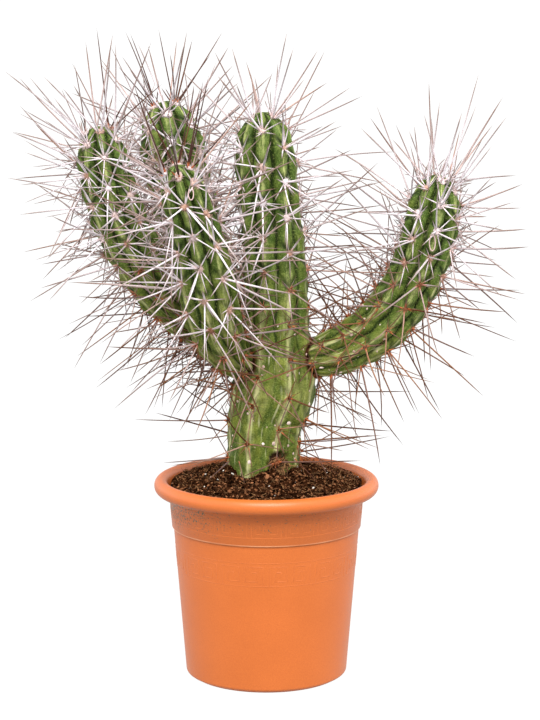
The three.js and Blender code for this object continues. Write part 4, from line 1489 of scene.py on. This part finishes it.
# %% [markdown]
# The scar at the foot of the trunk is where a shoot was torn off. Its edge is frayed into strips of dry
# bark and pale fibre, which hang down to the soil. A darker tuft of the same kind sits where the right
# arm's underside meets the trunk. They are needles again, with the finish of the fibres.

# %% Fray the scar and the joint
FRAYS = {
    "trunk": {"at": TRUNK_SCAR, "count": 80, "spread": 8.5, "reach": (3, 9), "pale": 0.8},
    "arm_right": {"at": (47, -13, 296), "count": 70, "spread": 3.5, "reach": (2, 5), "pale": 4},
}
FRAY_GIRTH = (0.3, 0.9)
FRAY_DEPTH = (-1, 3)
FRAY_SIDEWAYS = 0.9  # how far the strips fan out
FRAY_FORWARD = (-0.6, -0.05)
random = np.random.default_rng(53)

for name, frayed in FRAYS.items():
    count = frayed["count"]
    swing = random.uniform(0, math.tau, count)
    out = frayed["spread"] * np.sqrt(random.uniform(0.1, 1, count))
    depth = random.uniform(*FRAY_DEPTH, count)
    offset = np.stack([out * np.cos(swing), depth, out * np.sin(swing)], axis=1)
    sideways, forward = random.normal(0, FRAY_SIDEWAYS, count), random.uniform(*FRAY_FORWARD, count)
    aim = unit(np.stack([sideways, forward, -np.ones(count)], axis=1))
    reach = random.uniform(*frayed["reach"], count)
    strips = points_mesh(
        name + "_fray_roots", np.array(frayed["at"]) + offset, aim=aim, reach=reach * MM,
        girth=random.uniform(*FRAY_GIRTH, count) * MM, bend=curved(aim, reach * STRAND_BEND, random),
        tone=random.uniform(0, 1, count) ** frayed["pale"],
    )
    shape = {"sides": 4, "joints": 5, "taper": 0.3}
    grow(name + "_frayed_bark", strips, needle_tree, "cactus_skin", name, finish=fibre, **shape)

# %% [markdown]
# ## Floor, light and camera
# The plant stands on a light table, as in a catalogue's studio: a plain sheet of opal acrylic, lit from
# below. Its glow is just white and takes no shadow, so even the thinnest spine stands out against it. A
# white world gives soft light from all round, most from its two side walls, and one large soft box, high
# in front and a little to the right, gives the shapes a lit and a shaded side. The camera stands 2.2 m in
# front of the plant, with a long lens, and looks a little down.

# %% Floor
FLOOR_HALF_SIZE = 60  # metres, so that its far edge is lost in the white
FLOOR_Z = -0.4  # a hair under the pot, so that the two don't touch
TABLE_GLOW = 1.0
floor_finish, add, shader, here = new_finish(
    "lit_opal_acrylic", Roughness=0.9, Specular_IOR_Level=0.0, Emission_Strength=TABLE_GLOW
)
cloud = add("noise", here, Scale=per_mm(300), Detail=2.0)
connect(coats(add, "262626", ("2E2E2E", cloud)), shader["Base Color"])
connect(coats(add, "FEFEFE", ("FFFFFF", cloud)), shader["Emission Color"])
form = bmesh.new()
bmesh.ops.create_grid(form, x_segments=8, y_segments=8, size=FLOOR_HALF_SIZE)
bmesh.ops.translate(form, verts=form.verts, vec=(0, 0, FLOOR_Z * MM))
floor = new_piece("floor", mesh_of("floor", form))
floor.data.materials.append(floor_finish)
floor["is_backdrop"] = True

# %% Light
SKY = 1.05
SIDE_GLOW = 2.4  # how much brighter the room is to the left and right
SUN_POWER = 6.3
SUN_WIDTH = 30  # degrees across: a large soft box
SUN_SIDE = 4  # degrees to the right of the front
SUN_RISE = 50  # degrees above the level

world = bpy.data.worlds.new("white_room")
bpy.context.scene.world = world
world.use_nodes = True
add = adder(world.node_tree)
backdrop = world.node_tree.nodes["Background"]
backdrop.inputs["Color"].default_value = (1, 1, 1, 1)
sideways = add("ShaderNodeSeparateXYZ", add("ShaderNodeTexCoord").outputs["Generated"]).outputs["X"]
sideways = add("power", sideways, 2.0)
connect(add("times_plus", sideways, SIDE_GLOW, SKY), backdrop.inputs["Strength"])
light = bpy.data.lights.new("soft_box", "SUN")
light.energy = SUN_POWER
light.angle = math.radians(SUN_WIDTH)
soft_box = bpy.data.objects.new("soft_box", light)
bpy.context.scene.collection.objects.link(soft_box)
soft_box.rotation_euler = (math.radians(90 - SUN_RISE), 0, math.radians(SUN_SIDE))
print(f"light: a soft box {SUN_WIDTH} degrees across and a sky of {SKY}")

# %% Camera
CAMERA_PLACE = (0.00347, -2.16424, 0.6666)
CAMERA_DOWN = 9.45  # degrees below the level
LENS = 115  # millimetres, on a 36 mm sensor
lens = bpy.data.cameras.new("camera")
lens.lens = LENS
lens.sensor_width = 36
camera = bpy.data.objects.new("camera", lens)
bpy.context.scene.collection.objects.link(camera)
camera.location = CAMERA_PLACE
camera.rotation_euler = (math.radians(90 - CAMERA_DOWN), 0, 0)
bpy.context.scene.camera = camera
bpy.context.scene.view_settings.view_transform = "Standard"
print(f"camera: {LENS} mm lens, {-CAMERA_PLACE[1]:.2f} m in front")

# %% [markdown]
# ## Sizes
# The box of the solid model and that of the finished one are printed side by side.

# %% Print the sizes of both
boxes = {"cad": cad_box, "scene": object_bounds()}
sizes = {name: [[float(c) for c in corner] for corner in box] for name, box in boxes.items()}
print("sizes:", sizes)
